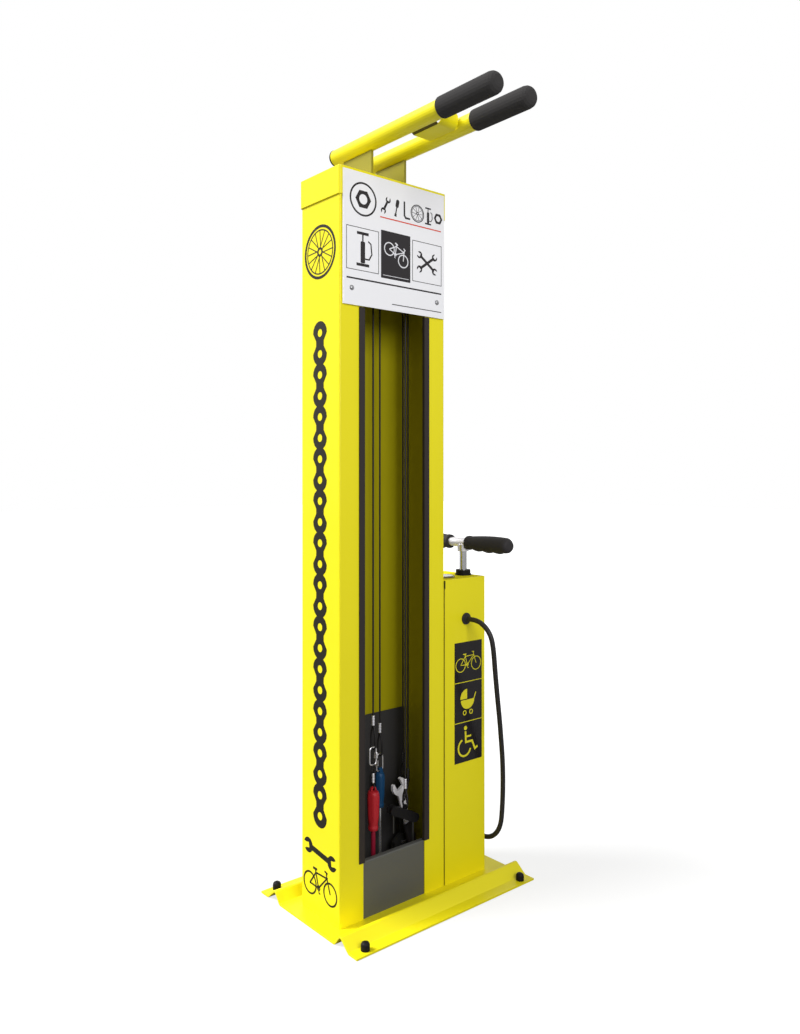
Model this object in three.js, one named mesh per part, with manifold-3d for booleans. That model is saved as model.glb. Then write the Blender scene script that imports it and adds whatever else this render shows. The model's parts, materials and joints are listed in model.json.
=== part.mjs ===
// Outdoor bicycle repair station: a folded sheet steel column with a tool bay, two arms that carry
// a bicycle by its saddle, and a boxed floor pump with its hose and gauge, on a formed base plate.
// Millimetres, +Z up. The origin is on the floor under the middle of the base plate, +X runs along
// the slotted front from the column towards the pump, and +Y points to the back.
import * as THREE from 'three';
import { mergeVertices } from 'three/addons/utils/BufferGeometryUtils.js';
import Module from 'manifold-3d';

const wasm = await Module();
wasm.setup();

// Clearances and cutting allowances
const gap = 0.3;
const overrun = 6;
const bite = 0.2;
const weld = 1e-4;

// Facet counts
const fold = 3;
const hexagon = 6;
const coarse = 12;
const round = 18;
const fine = 24;
const wireSides = 8;
const hoseSteps = 72;

// Base plate: one formed strip with a ridge along each long side
const base = {
  length: 475, width: 327, sheet: 4, bend: 4,
  innerSlope: 18, outerSlope: 26.5, flange: 25.5, ridge: 26,
  holeRadius: 6, holeInset: 29.5, holeEdge: 13.5,
};
const anchorCap = { radius: 8.6, height: 16, crown: 7, pocketRadius: 7.6, pocketHeight: 7.5 };

// Column: folded casing with a slot in its front, measured from its front left foot
const column = { width: 271, depth: 129, height: 1450, sheet: 2, corner: 3.5, leftMargin: 34 };
const slot = { left: 57, right: 55, top: 1215 };
const slotWidth = column.width - slot.left - slot.right;
const lid = { skirt: 54.5, sheet: 2, clearance: 0.8 };
const trim = { lip: 11, backLip: 8, rubber: 2, foot: 111, head: 1186 };
const kick = { height: 110.7, overlap: 12, sheet: 2, hem: 10 };
const lining = { foot: 2, height: 350, sheet: 3, sideGap: 3.2 };
const plate = {
  inset: 5, foot: 1187.5, height: 259.5, sheet: 2, holeRadius: 2.6, holeInset: 25.3, holeRise: 32,
};
const hanger = { underside: 1228, sheet: 3, flange: 22, inset: 12, bend: 3, holeRadius: 3 };

// Arms: two tubes on upright plates, joined by a bridge plate, with foam grips
const arm = {
  tubeRadius: 16.85, wall: 2.6, spacing: 85.5, axisRise: 72, back: 137, front: -318,
  plateSheet: 6, plateFront: 17, plateBack: 109,
  bridgeFront: -153, bridgeBack: -67, bridgeSheet: 5, bridgeDrop: 8, bridgeCorner: 12,
  plugLip: 3, plugDepth: 14, plugWall: 2,
};
const foam = { radius: 19.8, length: 140, front: -325, tip: 14, rimShare: 0.85 };

// Pump box beside the column, with a barrel pump, a gauge and a T handle
const pumpBox = { width: 123, height: 641, sheet: 2, corner: 3.5, notchWidth: 3, notchHeight: 17 };
const pump = {
  x: 100.5, y: 46, barrelRadius: 17.5, barrelWall: 1.5, footRadius: 18.5, footHeight: 22, spigot: 8,
  rodRadius: 8, pistonHeight: 16,
  collarRadius: 16.2, collarHeight: 12, collarLip: 2, collarLipHeight: 3,
  handleRise: 72, barRadius: 10, barHalf: 132, socketRadius: 12.5, socketDrop: 19,
};
const grip = {
  inner: 27, outer: 137, bore: 10.3, radius: 14, swell: 4, wave: 1.3, waves: 4, flange: 1.4,
};
const gauge = {
  x: 35.5, y: 44, bezelRadius: 27, bezelHeight: 4, bodyRadius: 23, bodyDepth: 26, dialRadius: 23.5,
  dialDrop: 3.2, lensSheet: 1, needleSheet: 0.6, needleLength: 18, needleTail: 6, needleHalf: 1.1,
  hubRadius: 2.4, pinRadius: 0.7, holeGap: 0.5, rest: 135,
};
const hose = {
  radius: 5.3, x: 63.5, drop: 87, grommetRadius: 12.5, grommetProud: 8, holeRadius: 7.5, bossRadius: 8.5,
  flange: 3,
};
const hoseRoute = [
  [63.5, -8.3, 554], [63.5, -18, 554], [63.6, -29, 553.6], [64.1, -43.8, 550.2], [65.1, -56.4, 542.7],
  [66.7, -66, 531.7], [68.8, -71.4, 518], [72, -72.6, 500], [77, -70.8, 478], [83, -67.6, 452],
  [91.5, -63, 420], [101.5, -58, 382], [113, -52.5, 338], [124.5, -46, 294], [135.5, -39.4, 250],
  [144.1, -33, 208], [149.2, -28, 170], [150.8, -25, 138], [150.6, -22, 106], [149.6, -16.6, 86.6],
  [148, -7.2, 71.8], [146.4, 6, 61.8], [144.8, 20.6, 57.4], [143.4, 35.4, 58.1], [142, 49.7, 63.9],
  [140.8, 62, 75], [139.9, 70.4, 91], [139.2, 75, 112], [138.6, 76.4, 140], [138, 76, 180],
  [137.5, 75, 235], [137.2, 74.4, 300], [137, 74, 360], [137, 74, 397.7],
];

// Pump head parked in a clip on the far side of the pump box
const head = {
  standoff: 14, y: 74, foot: 398, shankRadius: 9.5, shankHeight: 52, noseRadius: 8, noseHeight: 10,
  blockRadius: 13, blockLength: 46, mouthRadius: 4, mouthDepth: 12,
  leverWidth: 12, leverLength: 44, leverSheet: 4, hingeRise: 5, hingeRadius: 2.2, earSheet: 3,
};
const clip = { height: 22, wall: 2.5, rise: 12, plateWidth: 34, plateSheet: 2, mouth: 15 };

// Tool cables, their links and ferrules
const cable = {
  radius: 1.8, ferruleRadius: 3.3, ferruleLength: 20, eyeHalf: 7.2, eyeLength: 40, stopRadius: 4.6,
  stopLength: 12,
};
const link = { wire: 1.6, width: 20, height: 39, nutRadius: 3, nutLength: 10 };
const strop = { half: 4.6, drop: 50 };

// The five tool lines in the bay: shares of the casing's width and depth, height of the eye's foot
const redLine = { shares: [0.4509, 0.4031], eyeFoot: 303, eyeLength: 50 };
const blueLine = { shares: [0.6221, 0.6822], eyeFoot: 271, eyeLength: 50 };
const wrenchLine = { shares: [0.8395, 0.5116], eyeFoot: 172, eyeShift: -16, eyeLength: 46 };
const adjustableLine = { shares: [0.869, 0.7132], eyeFoot: 204 };
const hexLine = { shares: [0.6919, 0.2171], eyeFoot: 176 };

// Hand tools
const redDriver = {
  radius: 13.5, length: 88, neck: 9, lug: 8, holeDrop: 6, holeRadius: 3.2, lugHalf: 2.2, bladeRadius: 4.7,
  bladeLength: 100, tip: 1.2, flutes: 6, blade: 'red',
};
const blueDriver = {
  radius: 11, length: 82, neck: 7.5, lug: 9, holeDrop: 7, holeRadius: 3.2, lugHalf: 4, bladeRadius: 3.4,
  bladeLength: 110, tip: 1, flutes: 6, blade: 'steel',
};
const wrench = {
  headRadius: 19, jaw: 17, jawDepth: 24, jawTilt: 15, headSheet: 7.4, shankSheet: 5, neckHalf: 8,
  endHalf: 6, length: 190, ringRadius: 12.5, ringBore: 7.5, holeRadius: 3.4, holeDrop: 34, lean: 16,
  sleeveDrop: 84, sleeveLength: 56, sleeveWall: 2.2,
};
const adjustable = {
  length: 172, handleHalf: 9, neckHalf: 7.5, sheet: 5, endRadius: 10, holeRadius: 3.4,
  headSheet: 12, headLeft: -27, headRight: 12, headHeight: 27, fixedJaw: 12, jawHeight: 25,
  jawNose: 5, railRadius: 4.5, railDrop: 6.5, railLength: 24, webHalf: 2, opening: 7, jawWidth: 13,
  wormRadius: 4.6, wormRib: 0.8, wormLength: 13, wormPitch: 2.6, pinRadius: 1.3, windowGap: 0.4,
};
const hexSet = {
  length: 82, radius: 9.5, cheek: 2.5, channel: 10, spine: 4, pin: 2.4, tilt: 26, lugSheet: 4.4,
  lugRadius: 6.5, lugRise: 13, holeRadius: 3.2, eyeRadius: 5, keyLarge: 2.4, keySmall: 1.8,
  keyLargeLength: 58, keySmallLength: 46,
};

// Finishes: colour, roughness and metalness
const finishes = {
  yellow: { color: 0xf6f032, roughness: 0.38, metalness: 0 },
  rubber: { color: 0x2f2b2a, roughness: 0.8, metalness: 0 },
  foam: { color: 0x343434, roughness: 0.95, metalness: 0 },
  plastic: { color: 0x1c1c1d, roughness: 0.5, metalness: 0 },
  grey: { color: 0x555550, roughness: 0.6, metalness: 0 },
  lining: { color: 0x2a2a2c, roughness: 0.7, metalness: 0 },
  plate: { color: 0xe9e9ec, roughness: 0.35, metalness: 0 },
  steel: { color: 0xc9c9cc, roughness: 0.3, metalness: 1 },
  red: { color: 0xa02a32, roughness: 0.4, metalness: 0 },
  blue: { color: 0x14365a, roughness: 0.4, metalness: 0 },
  lens: { color: 0xdfe8ea, roughness: 0.05, metalness: 0 },
};

// Axes, and the turns that lay a shape drawn in XY on the YZ and the XZ plane
const X = new THREE.Vector3(1, 0, 0);
const Y = new THREE.Vector3(0, 1, 0);
const Z = new THREE.Vector3(0, 0, 1);
const degrees = THREE.MathUtils.degToRad;
const alongX = new THREE.Matrix4().makeBasis(Y, Z, X);
const alongY = new THREE.Matrix4().makeBasis(X, Z, Y.clone().negate());

// Shared vertices, no empty triangles, and faces turned outwards
function tidy(geometry) {
  const bare = geometry.clone();
  bare.deleteAttribute('normal');
  bare.deleteAttribute('uv');
  const merged = mergeVertices(bare, weld);
  const index = merged.index.array;
  const kept = [];
  for (let i = 0; i < index.length; i += 3) {
    const [a, b, c] = [index[i], index[i + 1], index[i + 2]];
    if (a !== b && b !== c && c !== a) kept.push(a, b, c);
  }
  const position = merged.attributes.position;
  const corners = [new THREE.Vector3(), new THREE.Vector3(), new THREE.Vector3()];
  let volume = 0;
  for (let i = 0; i < kept.length; i += 3) {
    corners.forEach((corner, k) => corner.fromBufferAttribute(position, kept[i + k]));
    volume += corners[0].dot(corners[1].clone().cross(corners[2]));
  }
  if (volume < 0) kept.reverse();
  merged.setIndex(kept);
  return merged;
}

function toSolid(geometry) {
  const clean = tidy(geometry);
  return new wasm.Manifold(new wasm.Mesh({
    numProp: 3,
    vertProperties: new Float32Array(clean.attributes.position.array),
    triVerts: new Uint32Array(clean.index.array),
  }));
}

function toGeometry(solid) {
  const mesh = solid.getMesh();
  const geometry = new THREE.BufferGeometry();
  geometry.setAttribute('position', new THREE.BufferAttribute(mesh.vertProperties, 3));
  geometry.setIndex(new THREE.BufferAttribute(mesh.triVerts, 1));
  return geometry;
}

function join(...bodies) {
  return toGeometry(bodies.map(toSolid).reduce((all, body) => all.add(body)));
}

function cut(body, ...tools) {
  return toGeometry(tools.map(toSolid).reduce((rest, tool) => rest.subtract(tool), toSolid(body)));
}

// A named piece in its finish, at a place and turn in its group
function piece(name, geometry, finish, place = [0, 0, 0], turn = [0, 0, 0]) {
  const clean = tidy(geometry);
  clean.computeVertexNormals();
  const mesh = new THREE.Mesh(clean, new THREE.MeshStandardMaterial(finishes[finish]));
  mesh.name = name;
  mesh.position.set(...place);
  mesh.rotation.set(...turn);
  return mesh;
}

function group(place, ...children) {
  const set = new THREE.Group();
  set.position.set(...place);
  set.add(...children);
  return set;
}

// A box given by its lowest and highest corners
function block(low, high) {
  const size = high.map((value, k) => value - low[k]);
  return new THREE.BoxGeometry(...size).translate(...low.map((value, k) => value + size[k] / 2));
}

function disc(radius, low, high, steps = round) {
  return new THREE.CylinderGeometry(radius, radius, high - low, steps)
    .rotateX(Math.PI / 2).translate(0, 0, (low + high) / 2);
}

// A solid of revolution about Z from [radius, height] pairs
function turned(profile, steps = round) {
  const points = profile.map(([radius, height]) => new THREE.Vector2(radius, height));
  return tidy(new THREE.LatheGeometry(points, steps).rotateX(Math.PI / 2));
}

function pipe(outer, inner, low, high, steps = round) {
  return turned([[inner, low], [outer, low], [outer, high], [inner, high], [inner, low]], steps);
}

function extrude(outline, depth, steps = fold) {
  return new THREE.ExtrudeGeometry(outline, { depth, bevelEnabled: false, curveSegments: steps });
}

function roundedRectangle(left, low, right, high, radius) {
  const shape = new THREE.Shape();
  shape.absarc(right - radius, low + radius, radius, -Math.PI / 2, 0);
  shape.absarc(right - radius, high - radius, radius, 0, Math.PI / 2);
  shape.absarc(left + radius, high - radius, radius, Math.PI / 2, Math.PI);
  shape.absarc(left + radius, low + radius, radius, Math.PI, 3 * Math.PI / 2);
  shape.closePath();
  return shape;
}

function polygon(points) {
  return new THREE.Shape(points.map(([x, y]) => new THREE.Vector2(x, y)));
}

// The outline of a folded sheet: its middle line is given, with one radius at every fold
function foldedSheet(middle, sheet, radius) {
  const corners = middle.map(([x, y]) => new THREE.Vector2(x, y));
  const line = [corners[0]];
  for (let i = 1; i < corners.length - 1; i += 1) {
    const back = corners[i - 1].clone().sub(corners[i]).normalize();
    const ahead = corners[i + 1].clone().sub(corners[i]).normalize();
    const half = Math.acos(THREE.MathUtils.clamp(back.dot(ahead), -1, 1)) / 2;
    const start = corners[i].clone().addScaledVector(back, radius / Math.tan(half));
    const end = corners[i].clone().addScaledVector(ahead, radius / Math.tan(half));
    const bisector = back.clone().add(ahead).normalize();
    const centre = corners[i].clone().addScaledVector(bisector, radius / Math.sin(half));
    const from = start.clone().sub(centre);
    const to = end.clone().sub(centre);
    const sweep = Math.atan2(from.cross(to), from.dot(to));
    for (let k = 0; k <= fold; k += 1) {
      line.push(from.clone().rotateAround(new THREE.Vector2(), sweep * k / fold).add(centre));
    }
  }
  line.push(corners[corners.length - 1]);
  const side = (offset) => line.map((point, i) => {
    const before = point.clone().sub(line[Math.max(i - 1, 0)]).normalize();
    const after = line[Math.min(i + 1, line.length - 1)].clone().sub(point).normalize();
    const along = before.clone().add(after).normalize();
    const reach = i === 0 || i === line.length - 1 ? 1 : Math.max(along.dot(after), 0.5);
    return point.clone().add(new THREE.Vector2(-along.y, along.x).multiplyScalar(offset / reach));
  });
  return new THREE.Shape([...side(sheet / 2), ...side(-sheet / 2).reverse()]);
}

// A closed skin over rings of equal point counts, capped at both ends
function loft(rings) {
  const count = rings[0].length;
  const positions = rings.flat().flatMap((point) => [point.x, point.y, point.z]);
  const index = [];
  for (let i = 0; i < rings.length - 1; i += 1) {
    for (let k = 0; k < count; k += 1) {
      const a = i * count + k;
      const b = i * count + (k + 1) % count;
      index.push(a, b, b + count, a, b + count, a + count);
    }
  }
  const last = (rings.length - 1) * count;
  for (let k = 1; k < count - 1; k += 1) {
    index.push(0, k + 1, k);
    index.push(last, last + k, last + k + 1);
  }
  const geometry = new THREE.BufferGeometry();
  geometry.setAttribute('position', new THREE.Float32BufferAttribute(positions, 3));
  geometry.setIndex(index);
  return tidy(geometry);
}

// A round wire along a curve through the given points
function wire(points, radius, steps, sides = wireSides) {
  const path = new THREE.CatmullRomCurve3(points.map((point) => new THREE.Vector3(...point)));
  const section = new THREE.Shape();
  for (let k = 0; k < sides; k += 1) {
    const angle = 2 * Math.PI * k / sides;
    const [x, y] = [radius * Math.cos(angle), radius * Math.sin(angle)];
    if (k === 0) section.moveTo(x, y);
    else section.lineTo(x, y);
  }
  return new THREE.ExtrudeGeometry(section, { steps, bevelEnabled: false, extrudePath: path });
}

// Base plate: flat pan, a folded ridge along each long side, and a drilled flange outside it
function basePlate() {
  const low = base.sheet / 2;
  const high = base.ridge - base.sheet / 2;
  const edge = base.width / 2;
  const foot = edge - base.flange;
  const crest = foot - base.outerSlope;
  const half = [[crest - base.innerSlope, low], [crest, high], [foot, low], [edge, low]];
  const mirrored = half.map(([y, z]) => [-y, z]).reverse();
  const sheet = foldedSheet([...mirrored, ...half], base.sheet, base.bend + base.sheet / 2);
  const strip = extrude(sheet, base.length).applyMatrix4(alongX).translate(-base.length / 2, 0, 0);
  const holes = anchorPlaces().map(([x, y]) => disc(base.holeRadius, -overrun, base.sheet + overrun)
    .translate(x, y, 0));
  return piece('base_plate', cut(strip, ...holes), 'yellow');
}

function anchorPlaces() {
  const x = base.length / 2 - base.holeInset;
  const y = base.width / 2 - base.holeEdge;
  return [[-x, -y], [x, -y], [-x, y], [x, y]];
}

// Domed caps over the anchor nuts, each with its hexagon pocket
function anchorCaps() {
  const { radius, height, crown, pocketRadius, pocketHeight } = anchorCap;
  const rim = height - crown;
  const domeShares = [[1, 0], [0.94, 0.42], [0.78, 0.72], [0.5, 0.92], [0, 1]];
  const dome = domeShares.map(([across, up]) => [radius * across, rim + crown * up]);
  const body = turned([[0, 0], [radius, 0], ...dome], round);
  const pocket = disc(pocketRadius, -overrun, pocketHeight, hexagon);
  const cap = cut(body, pocket);
  const at = (x, y) => [x, y, base.sheet];
  return anchorPlaces().map(([x, y], i) => piece(`anchor_cap_${i + 1}`, cap, 'plastic', at(x, y)));
}

// Column casing: rounded box section, open below, with the slot cut in its front sheet
function casing() {
  const { width, depth, sheet, corner } = column;
  const outline = roundedRectangle(0, 0, width, depth, corner);
  outline.holes.push(roundedRectangle(sheet, sheet, width - sheet, depth - sheet, corner - sheet));
  const height = column.height - lid.sheet;
  const right = slot.left + slotWidth;
  const mouth = block([slot.left, -overrun, -overrun], [right, sheet + overrun, slot.top]);
  return piece('main_housing', cut(extrude(outline, height), mouth), 'yellow');
}

// Top lid with a skirt all round, resting on the casing's rim
function topLid() {
  const { width, depth, height, corner } = column;
  const out = lid.clearance + lid.sheet;
  const outer = roundedRectangle(-out, -out, width + out, depth + out, corner + out);
  const inside = lid.clearance;
  const inner = roundedRectangle(-inside, -inside, width + inside, depth + inside, corner + inside);
  const cap = extrude(outer, lid.skirt).translate(0, 0, height - lid.skirt);
  const depthInside = lid.skirt + overrun - lid.sheet;
  const hollow = extrude(inner, depthInside).translate(0, 0, height - lid.skirt - overrun);
  return piece('top_lid', cut(cap, hollow), 'yellow');
}

// Sign plate over the lid and the top of the front
function infoPlate() {
  const face = -lid.clearance - lid.sheet;
  const left = plate.inset;
  const right = column.width - plate.inset;
  const sheet = block([left, face - plate.sheet, plate.foot], [right, face, plate.foot + plate.height]);
  const holes = [plate.holeInset, column.width - plate.holeInset].map((x) => {
    const drill = disc(plate.holeRadius, -overrun, plate.sheet + overrun, coarse).applyMatrix4(alongY);
    return drill.translate(x, face, plate.foot + plate.holeRise);
  });
  return piece('info_plate', cut(sheet, ...holes), 'plate');
}

// Rubber U trims pressed on the slot's two upright edges
function slotTrims() {
  const front = -gap - trim.rubber;
  const back = column.sheet + gap + trim.rubber;
  const half = [
    [-trim.lip, front], [gap + trim.rubber, front], [gap + trim.rubber, back], [-trim.backLip, back],
    [-trim.backLip, column.sheet + gap], [gap, column.sheet + gap], [gap, -gap], [-trim.lip, -gap],
  ];
  const height = trim.head - trim.foot;
  const left = extrude(polygon(half), height);
  const right = extrude(polygon(half.map(([x, y]) => [-x, y]).reverse()), height);
  return [
    piece('slot_trim_left', left, 'rubber', [slot.left, 0, trim.foot]),
    piece('slot_trim_right', right, 'rubber', [slot.left + slotWidth, 0, trim.foot]),
  ];
}

// Panel that closes the foot of the slot, hemmed inwards along its top
function kickPanel() {
  const { height, overlap, sheet, hem } = kick;
  const front = column.sheet + gap;
  const middle = front + sheet / 2;
  const top = height - sheet / 2;
  const profile = foldedSheet([[middle, 0], [middle, top], [middle + hem, top]], sheet, sheet);
  const panel = extrude(profile, slotWidth + 2 * overlap).applyMatrix4(alongX);
  return piece('kick_panel', panel, 'grey', [slot.left - overlap, 0, 0]);
}

// Dark lining that keeps the tools from marking the back wall
function backLining() {
  const { foot, height, sheet, sideGap } = lining;
  const back = column.depth - column.sheet - gap;
  const side = column.sheet + sideGap;
  const panel = block([side, back - sheet, foot], [column.width - side, back, foot + height]);
  return piece('back_lining', panel, 'lining');
}

// Cable shelf across the casing: a channel with one hole for each tool line
function cableHanger(lines) {
  const { underside, sheet, flange, inset, bend, holeRadius } = hanger;
  const low = column.sheet + inset;
  const high = column.depth - column.sheet - inset;
  const top = underside + sheet / 2;
  const rim = top + flange;
  const profile = foldedSheet([[low, rim], [low, top], [high, top], [high, rim]], sheet, bend);
  const side = column.sheet + gap;
  const channel = extrude(profile, column.width - 2 * side).applyMatrix4(alongX).translate(side, 0, 0);
  const drill = disc(holeRadius, underside - overrun, underside + sheet + overrun, coarse);
  const holes = lines.map(({ x, y }) => drill.clone().translate(x, y, 0));
  return piece('cable_hanger', cut(channel, ...holes), 'steel');
}

// The two arms with their upright plates, plugs, bridge plate and foam grips
function arms() {
  const axis = column.height + arm.axisRise;
  const middle = column.width / 2;
  const sides = { left: middle - arm.spacing / 2, right: middle + arm.spacing / 2 };
  const pieces = [];
  const bore = arm.tubeRadius - arm.wall;
  const length = arm.back - arm.front;
  const tube = pipe(arm.tubeRadius, bore, 0, length, fine).applyMatrix4(alongY);
  const clear = (x) => disc(arm.tubeRadius + gap, 0, length, fine).applyMatrix4(alongY)
    .translate(x, arm.back, axis);
  for (const [side, x] of Object.entries(sides)) {
    pieces.push(piece(`arm_tube_${side}`, tube, 'yellow', [x, arm.back, axis]));
    const upright = block([x - arm.plateSheet / 2, arm.plateFront, column.height],
      [x + arm.plateSheet / 2, arm.plateBack, axis]);
    pieces.push(piece(`arm_upright_${side}`, cut(upright, clear(x)), 'yellow'));
    pieces.push(piece(`arm_end_plug_${side}`, endPlug(bore), 'plastic', [x, arm.back, axis]));
    pieces.push(piece(`arm_grip_${side}`, foamGrip(), 'foam', [x, foam.front, axis]));
  }
  const { bridgeFront, bridgeBack, bridgeCorner } = arm;
  const outline = roundedRectangle(sides.left, bridgeFront, sides.right, bridgeBack, bridgeCorner);
  const bridge = extrude(outline, arm.bridgeSheet, 2 * fold).translate(0, 0, axis - arm.bridgeDrop);
  pieces.push(piece('arm_bridge_plate', cut(bridge, clear(sides.left), clear(sides.right)), 'yellow'));
  return pieces;
}

function endPlug(bore) {
  const spigot = bore - gap;
  const inner = spigot - arm.plugWall;
  const lip = arm.plugLip;
  const deep = -arm.plugDepth;
  const roof = lip - arm.plugWall;
  const profile = [[0, roof], [inner, roof], [inner, deep], [spigot, deep], [spigot, gap],
    [arm.tubeRadius, gap], [arm.tubeRadius, lip / 2], [arm.tubeRadius - lip / 2, lip], [0, lip]];
  return turned(profile, fine).applyMatrix4(alongY).rotateZ(Math.PI);
}

// A closed foam sleeve over the front of a tube: its tip at zero, its open end towards +Y
function foamGrip() {
  const { radius, length, tip } = foam;
  const bore = arm.tubeRadius + gap;
  const rim = (radius - bore) * foam.rimShare;
  const floor = arm.front - foam.front - gap;
  const steps = fold + 1;
  const quarter = (across, up, size, from) => Array.from({ length: steps + 1 }, (_, k) => {
    const angle = from + Math.PI / 2 * k / steps;
    return [across + size * Math.sin(angle), up - size * Math.cos(angle)];
  });
  const profile = [[0, 0], ...quarter(radius - tip, tip, tip, 0),
    ...quarter(radius - rim, length - rim, rim, Math.PI / 2), [bore, length], [bore, floor], [0, floor]];
  return turned(profile, fine).applyMatrix4(alongY).rotateZ(Math.PI);
}

// Pump box: casing and its flush cover, with the holes for the collar, the gauge and the hose
function pumpCasing() {
  const { width, height, sheet, corner, notchWidth, notchHeight } = pumpBox;
  const depth = column.depth;
  const outline = roundedRectangle(0, 0, width, depth, corner);
  outline.holes.push(roundedRectangle(sheet, sheet, width - sheet, depth - sheet, corner - sheet));
  const notch = block([-overrun, -overrun, height - notchHeight], [notchWidth, sheet, height + overrun]);
  const hoseHole = disc(hose.holeRadius, -overrun, sheet + overrun).applyMatrix4(alongY)
    .translate(hose.x, sheet, height - hose.drop);
  const shell = cut(extrude(outline, height), notch, hoseHole);
  const inside = sheet + gap;
  const lidOutline = roundedRectangle(inside, inside, width - inside, depth - inside, corner - sheet);
  const cover = extrude(lidOutline, sheet).translate(0, 0, height - sheet);
  const collarHole = disc(pump.collarRadius - pump.collarLip, height - overrun, height + overrun)
    .translate(pump.x, pump.y, 0);
  const gaugeHole = disc(gauge.bodyRadius + gauge.holeGap, height - overrun, height + overrun, fine)
    .translate(gauge.x, gauge.y, 0);
  return [
    piece('pump_box', shell, 'yellow'),
    piece('pump_box_cover', cut(cover, collarHole, gaugeHole), 'yellow'),
  ];
}

// Barrel pump: valve foot, barrel, piston on its rod, guide collar, and the T handle on top
function pumpWorks() {
  const { barrelRadius, barrelWall, footRadius, footHeight, spigot, rodRadius } = pump;
  const { pistonHeight } = pump;
  const bore = barrelRadius - barrelWall;
  const top = pumpBox.height;
  const barrelHead = top - pumpBox.sheet - gap;
  const foot = turned([[0, 0], [footRadius, 0], [footRadius, footHeight], [bore - gap, footHeight],
    [bore - gap, footHeight + spigot], [0, footHeight + spigot]]);
  const barrel = pipe(barrelRadius, bore, footHeight + gap, barrelHead, fine);
  const piston = turned([[0, 0], [bore - gap, 0], [bore - gap, pistonHeight], [0, pistonHeight]], fine);
  const axis = top + pump.handleRise;
  const pistonFoot = footHeight + spigot + gap;
  const rodFoot = pistonFoot + pistonHeight;
  const rod = disc(rodRadius, rodFoot, axis - pump.barRadius - gap);
  const neck = pump.collarRadius - pump.collarLip - gap;
  const { collarRadius } = pump;
  const lip = collarRadius + pump.collarLip;
  const lipTop = top + pump.collarLipHeight;
  const collarTop = top + pump.collarHeight;
  const inner = rodRadius + gap;
  const collar = turned([[inner, barrelHead + gap], [neck, barrelHead + gap], [neck, top], [lip, top],
    [lip, lipTop], [collarRadius, lipTop], [collarRadius, collarTop], [inner, collarTop],
    [inner, barrelHead + gap]], fine);
  const at = [pump.x, pump.y, 0];
  return [
    piece('pump_foot', foot, 'steel', at),
    piece('pump_barrel', barrel, 'steel', at),
    piece('pump_piston', piston, 'plastic', [pump.x, pump.y, pistonFoot]),
    piece('pump_rod', rod, 'steel', at),
    piece('pump_collar', collar, 'plastic', at),
    ...handle(axis),
  ];
}

// T handle: cross bar with its rod socket, and a waved grip on each end
function handle(axis) {
  const { barRadius, barHalf, socketRadius, socketDrop, rodRadius } = pump;
  const bar = disc(barRadius, -barHalf, barHalf, fine).applyMatrix4(alongY);
  const socket = disc(socketRadius, -socketDrop, -barRadius / 2, round);
  const rodSpace = disc(rodRadius + gap, -socketDrop - overrun, -barRadius, round);
  const cross = cut(join(bar, socket), rodSpace);
  const front = wavedGrip();
  const back = front.clone().rotateZ(Math.PI);
  const at = [pump.x, pump.y, axis];
  return [
    piece('pump_handle_bar', cross, 'steel', at),
    piece('pump_grip_front', front, 'rubber', at),
    piece('pump_grip_back', back, 'rubber', at),
  ];
}

// A hand grip towards -Y: a flange at its inner end, finger waves below, and a round tip
function wavedGrip() {
  const { inner, outer, bore, radius, swell, wave, waves, flange } = grip;
  const flangeShare = 0.07;
  const tipShare = 0.9;
  const bluntShare = 0.3;
  const bellyShare = 0.72;
  const stations = 20;
  const sides = 16;
  const rings = [];
  for (let i = 0; i <= stations; i += 1) {
    const along = i / stations;
    const y = -(inner + (outer - inner) * along);
    const rim = along < flangeShare ? flange : 0;
    const belly = swell * Math.sin(Math.PI * bellyShare * Math.min(along / tipShare, 1));
    const past = Math.max((along - tipShare) / (1 - tipShare), 0);
    const tip = Math.sqrt(Math.max(1 - past ** 2, bluntShare));
    const ring = [];
    for (let k = 0; k < sides; k += 1) {
      const angle = 2 * Math.PI * k / sides;
      const below = Math.max(-Math.sin(angle), 0);
      const finger = rim > 0 ? 0 : wave * below * Math.cos(2 * Math.PI * waves * along);
      const size = (radius + rim + belly + finger) * tip;
      ring.push(new THREE.Vector3(size * Math.cos(angle), y, size * Math.sin(angle)));
    }
    rings.push(ring);
  }
  const hollow = disc(bore, inner - overrun, pump.barHalf + gap, round).applyMatrix4(alongY);
  return cut(loft(rings), hollow);
}

// Pressure gauge let into the pump box cover: case with its dial, needle and lens
function pressureGauge() {
  const { bezelRadius, bezelHeight, bodyRadius, bodyDepth, dialRadius, dialDrop, lensSheet } = gauge;
  const rim = (bezelRadius - dialRadius) / 2;
  const floor = bezelHeight - dialDrop;
  const profile = [[0, -bodyDepth], [bodyRadius, -bodyDepth], [bodyRadius, 0], [bezelRadius, 0],
    [bezelRadius, bezelHeight - rim], [bezelRadius - rim, bezelHeight], [dialRadius, bezelHeight],
    [dialRadius, floor], [gauge.pinRadius, floor], [gauge.pinRadius, floor + 2 * gauge.needleSheet],
    [0, floor + 2 * gauge.needleSheet]];
  const { needleLength, needleTail, needleHalf, hubRadius, pinRadius, needleSheet } = gauge;
  const outline = polygon([[-needleHalf, -needleTail], [needleHalf, -needleTail], [0, needleLength]]);
  const pointer = extrude(outline, needleSheet);
  const hub = disc(hubRadius, 0, needleSheet, coarse);
  const eye = disc(pinRadius + gap, -overrun, overrun, coarse);
  const lens = disc(dialRadius - gap, 0, lensSheet, fine);
  const turn = [0, 0, degrees(gauge.rest)];
  return [
    piece('gauge_case', turned(profile, fine), 'plastic'),
    piece('gauge_needle', cut(join(pointer, hub), eye), 'red', [0, 0, floor + gap], turn),
    piece('gauge_lens', lens, 'lens', [0, 0, bezelHeight - lensSheet]),
  ];
}

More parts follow.
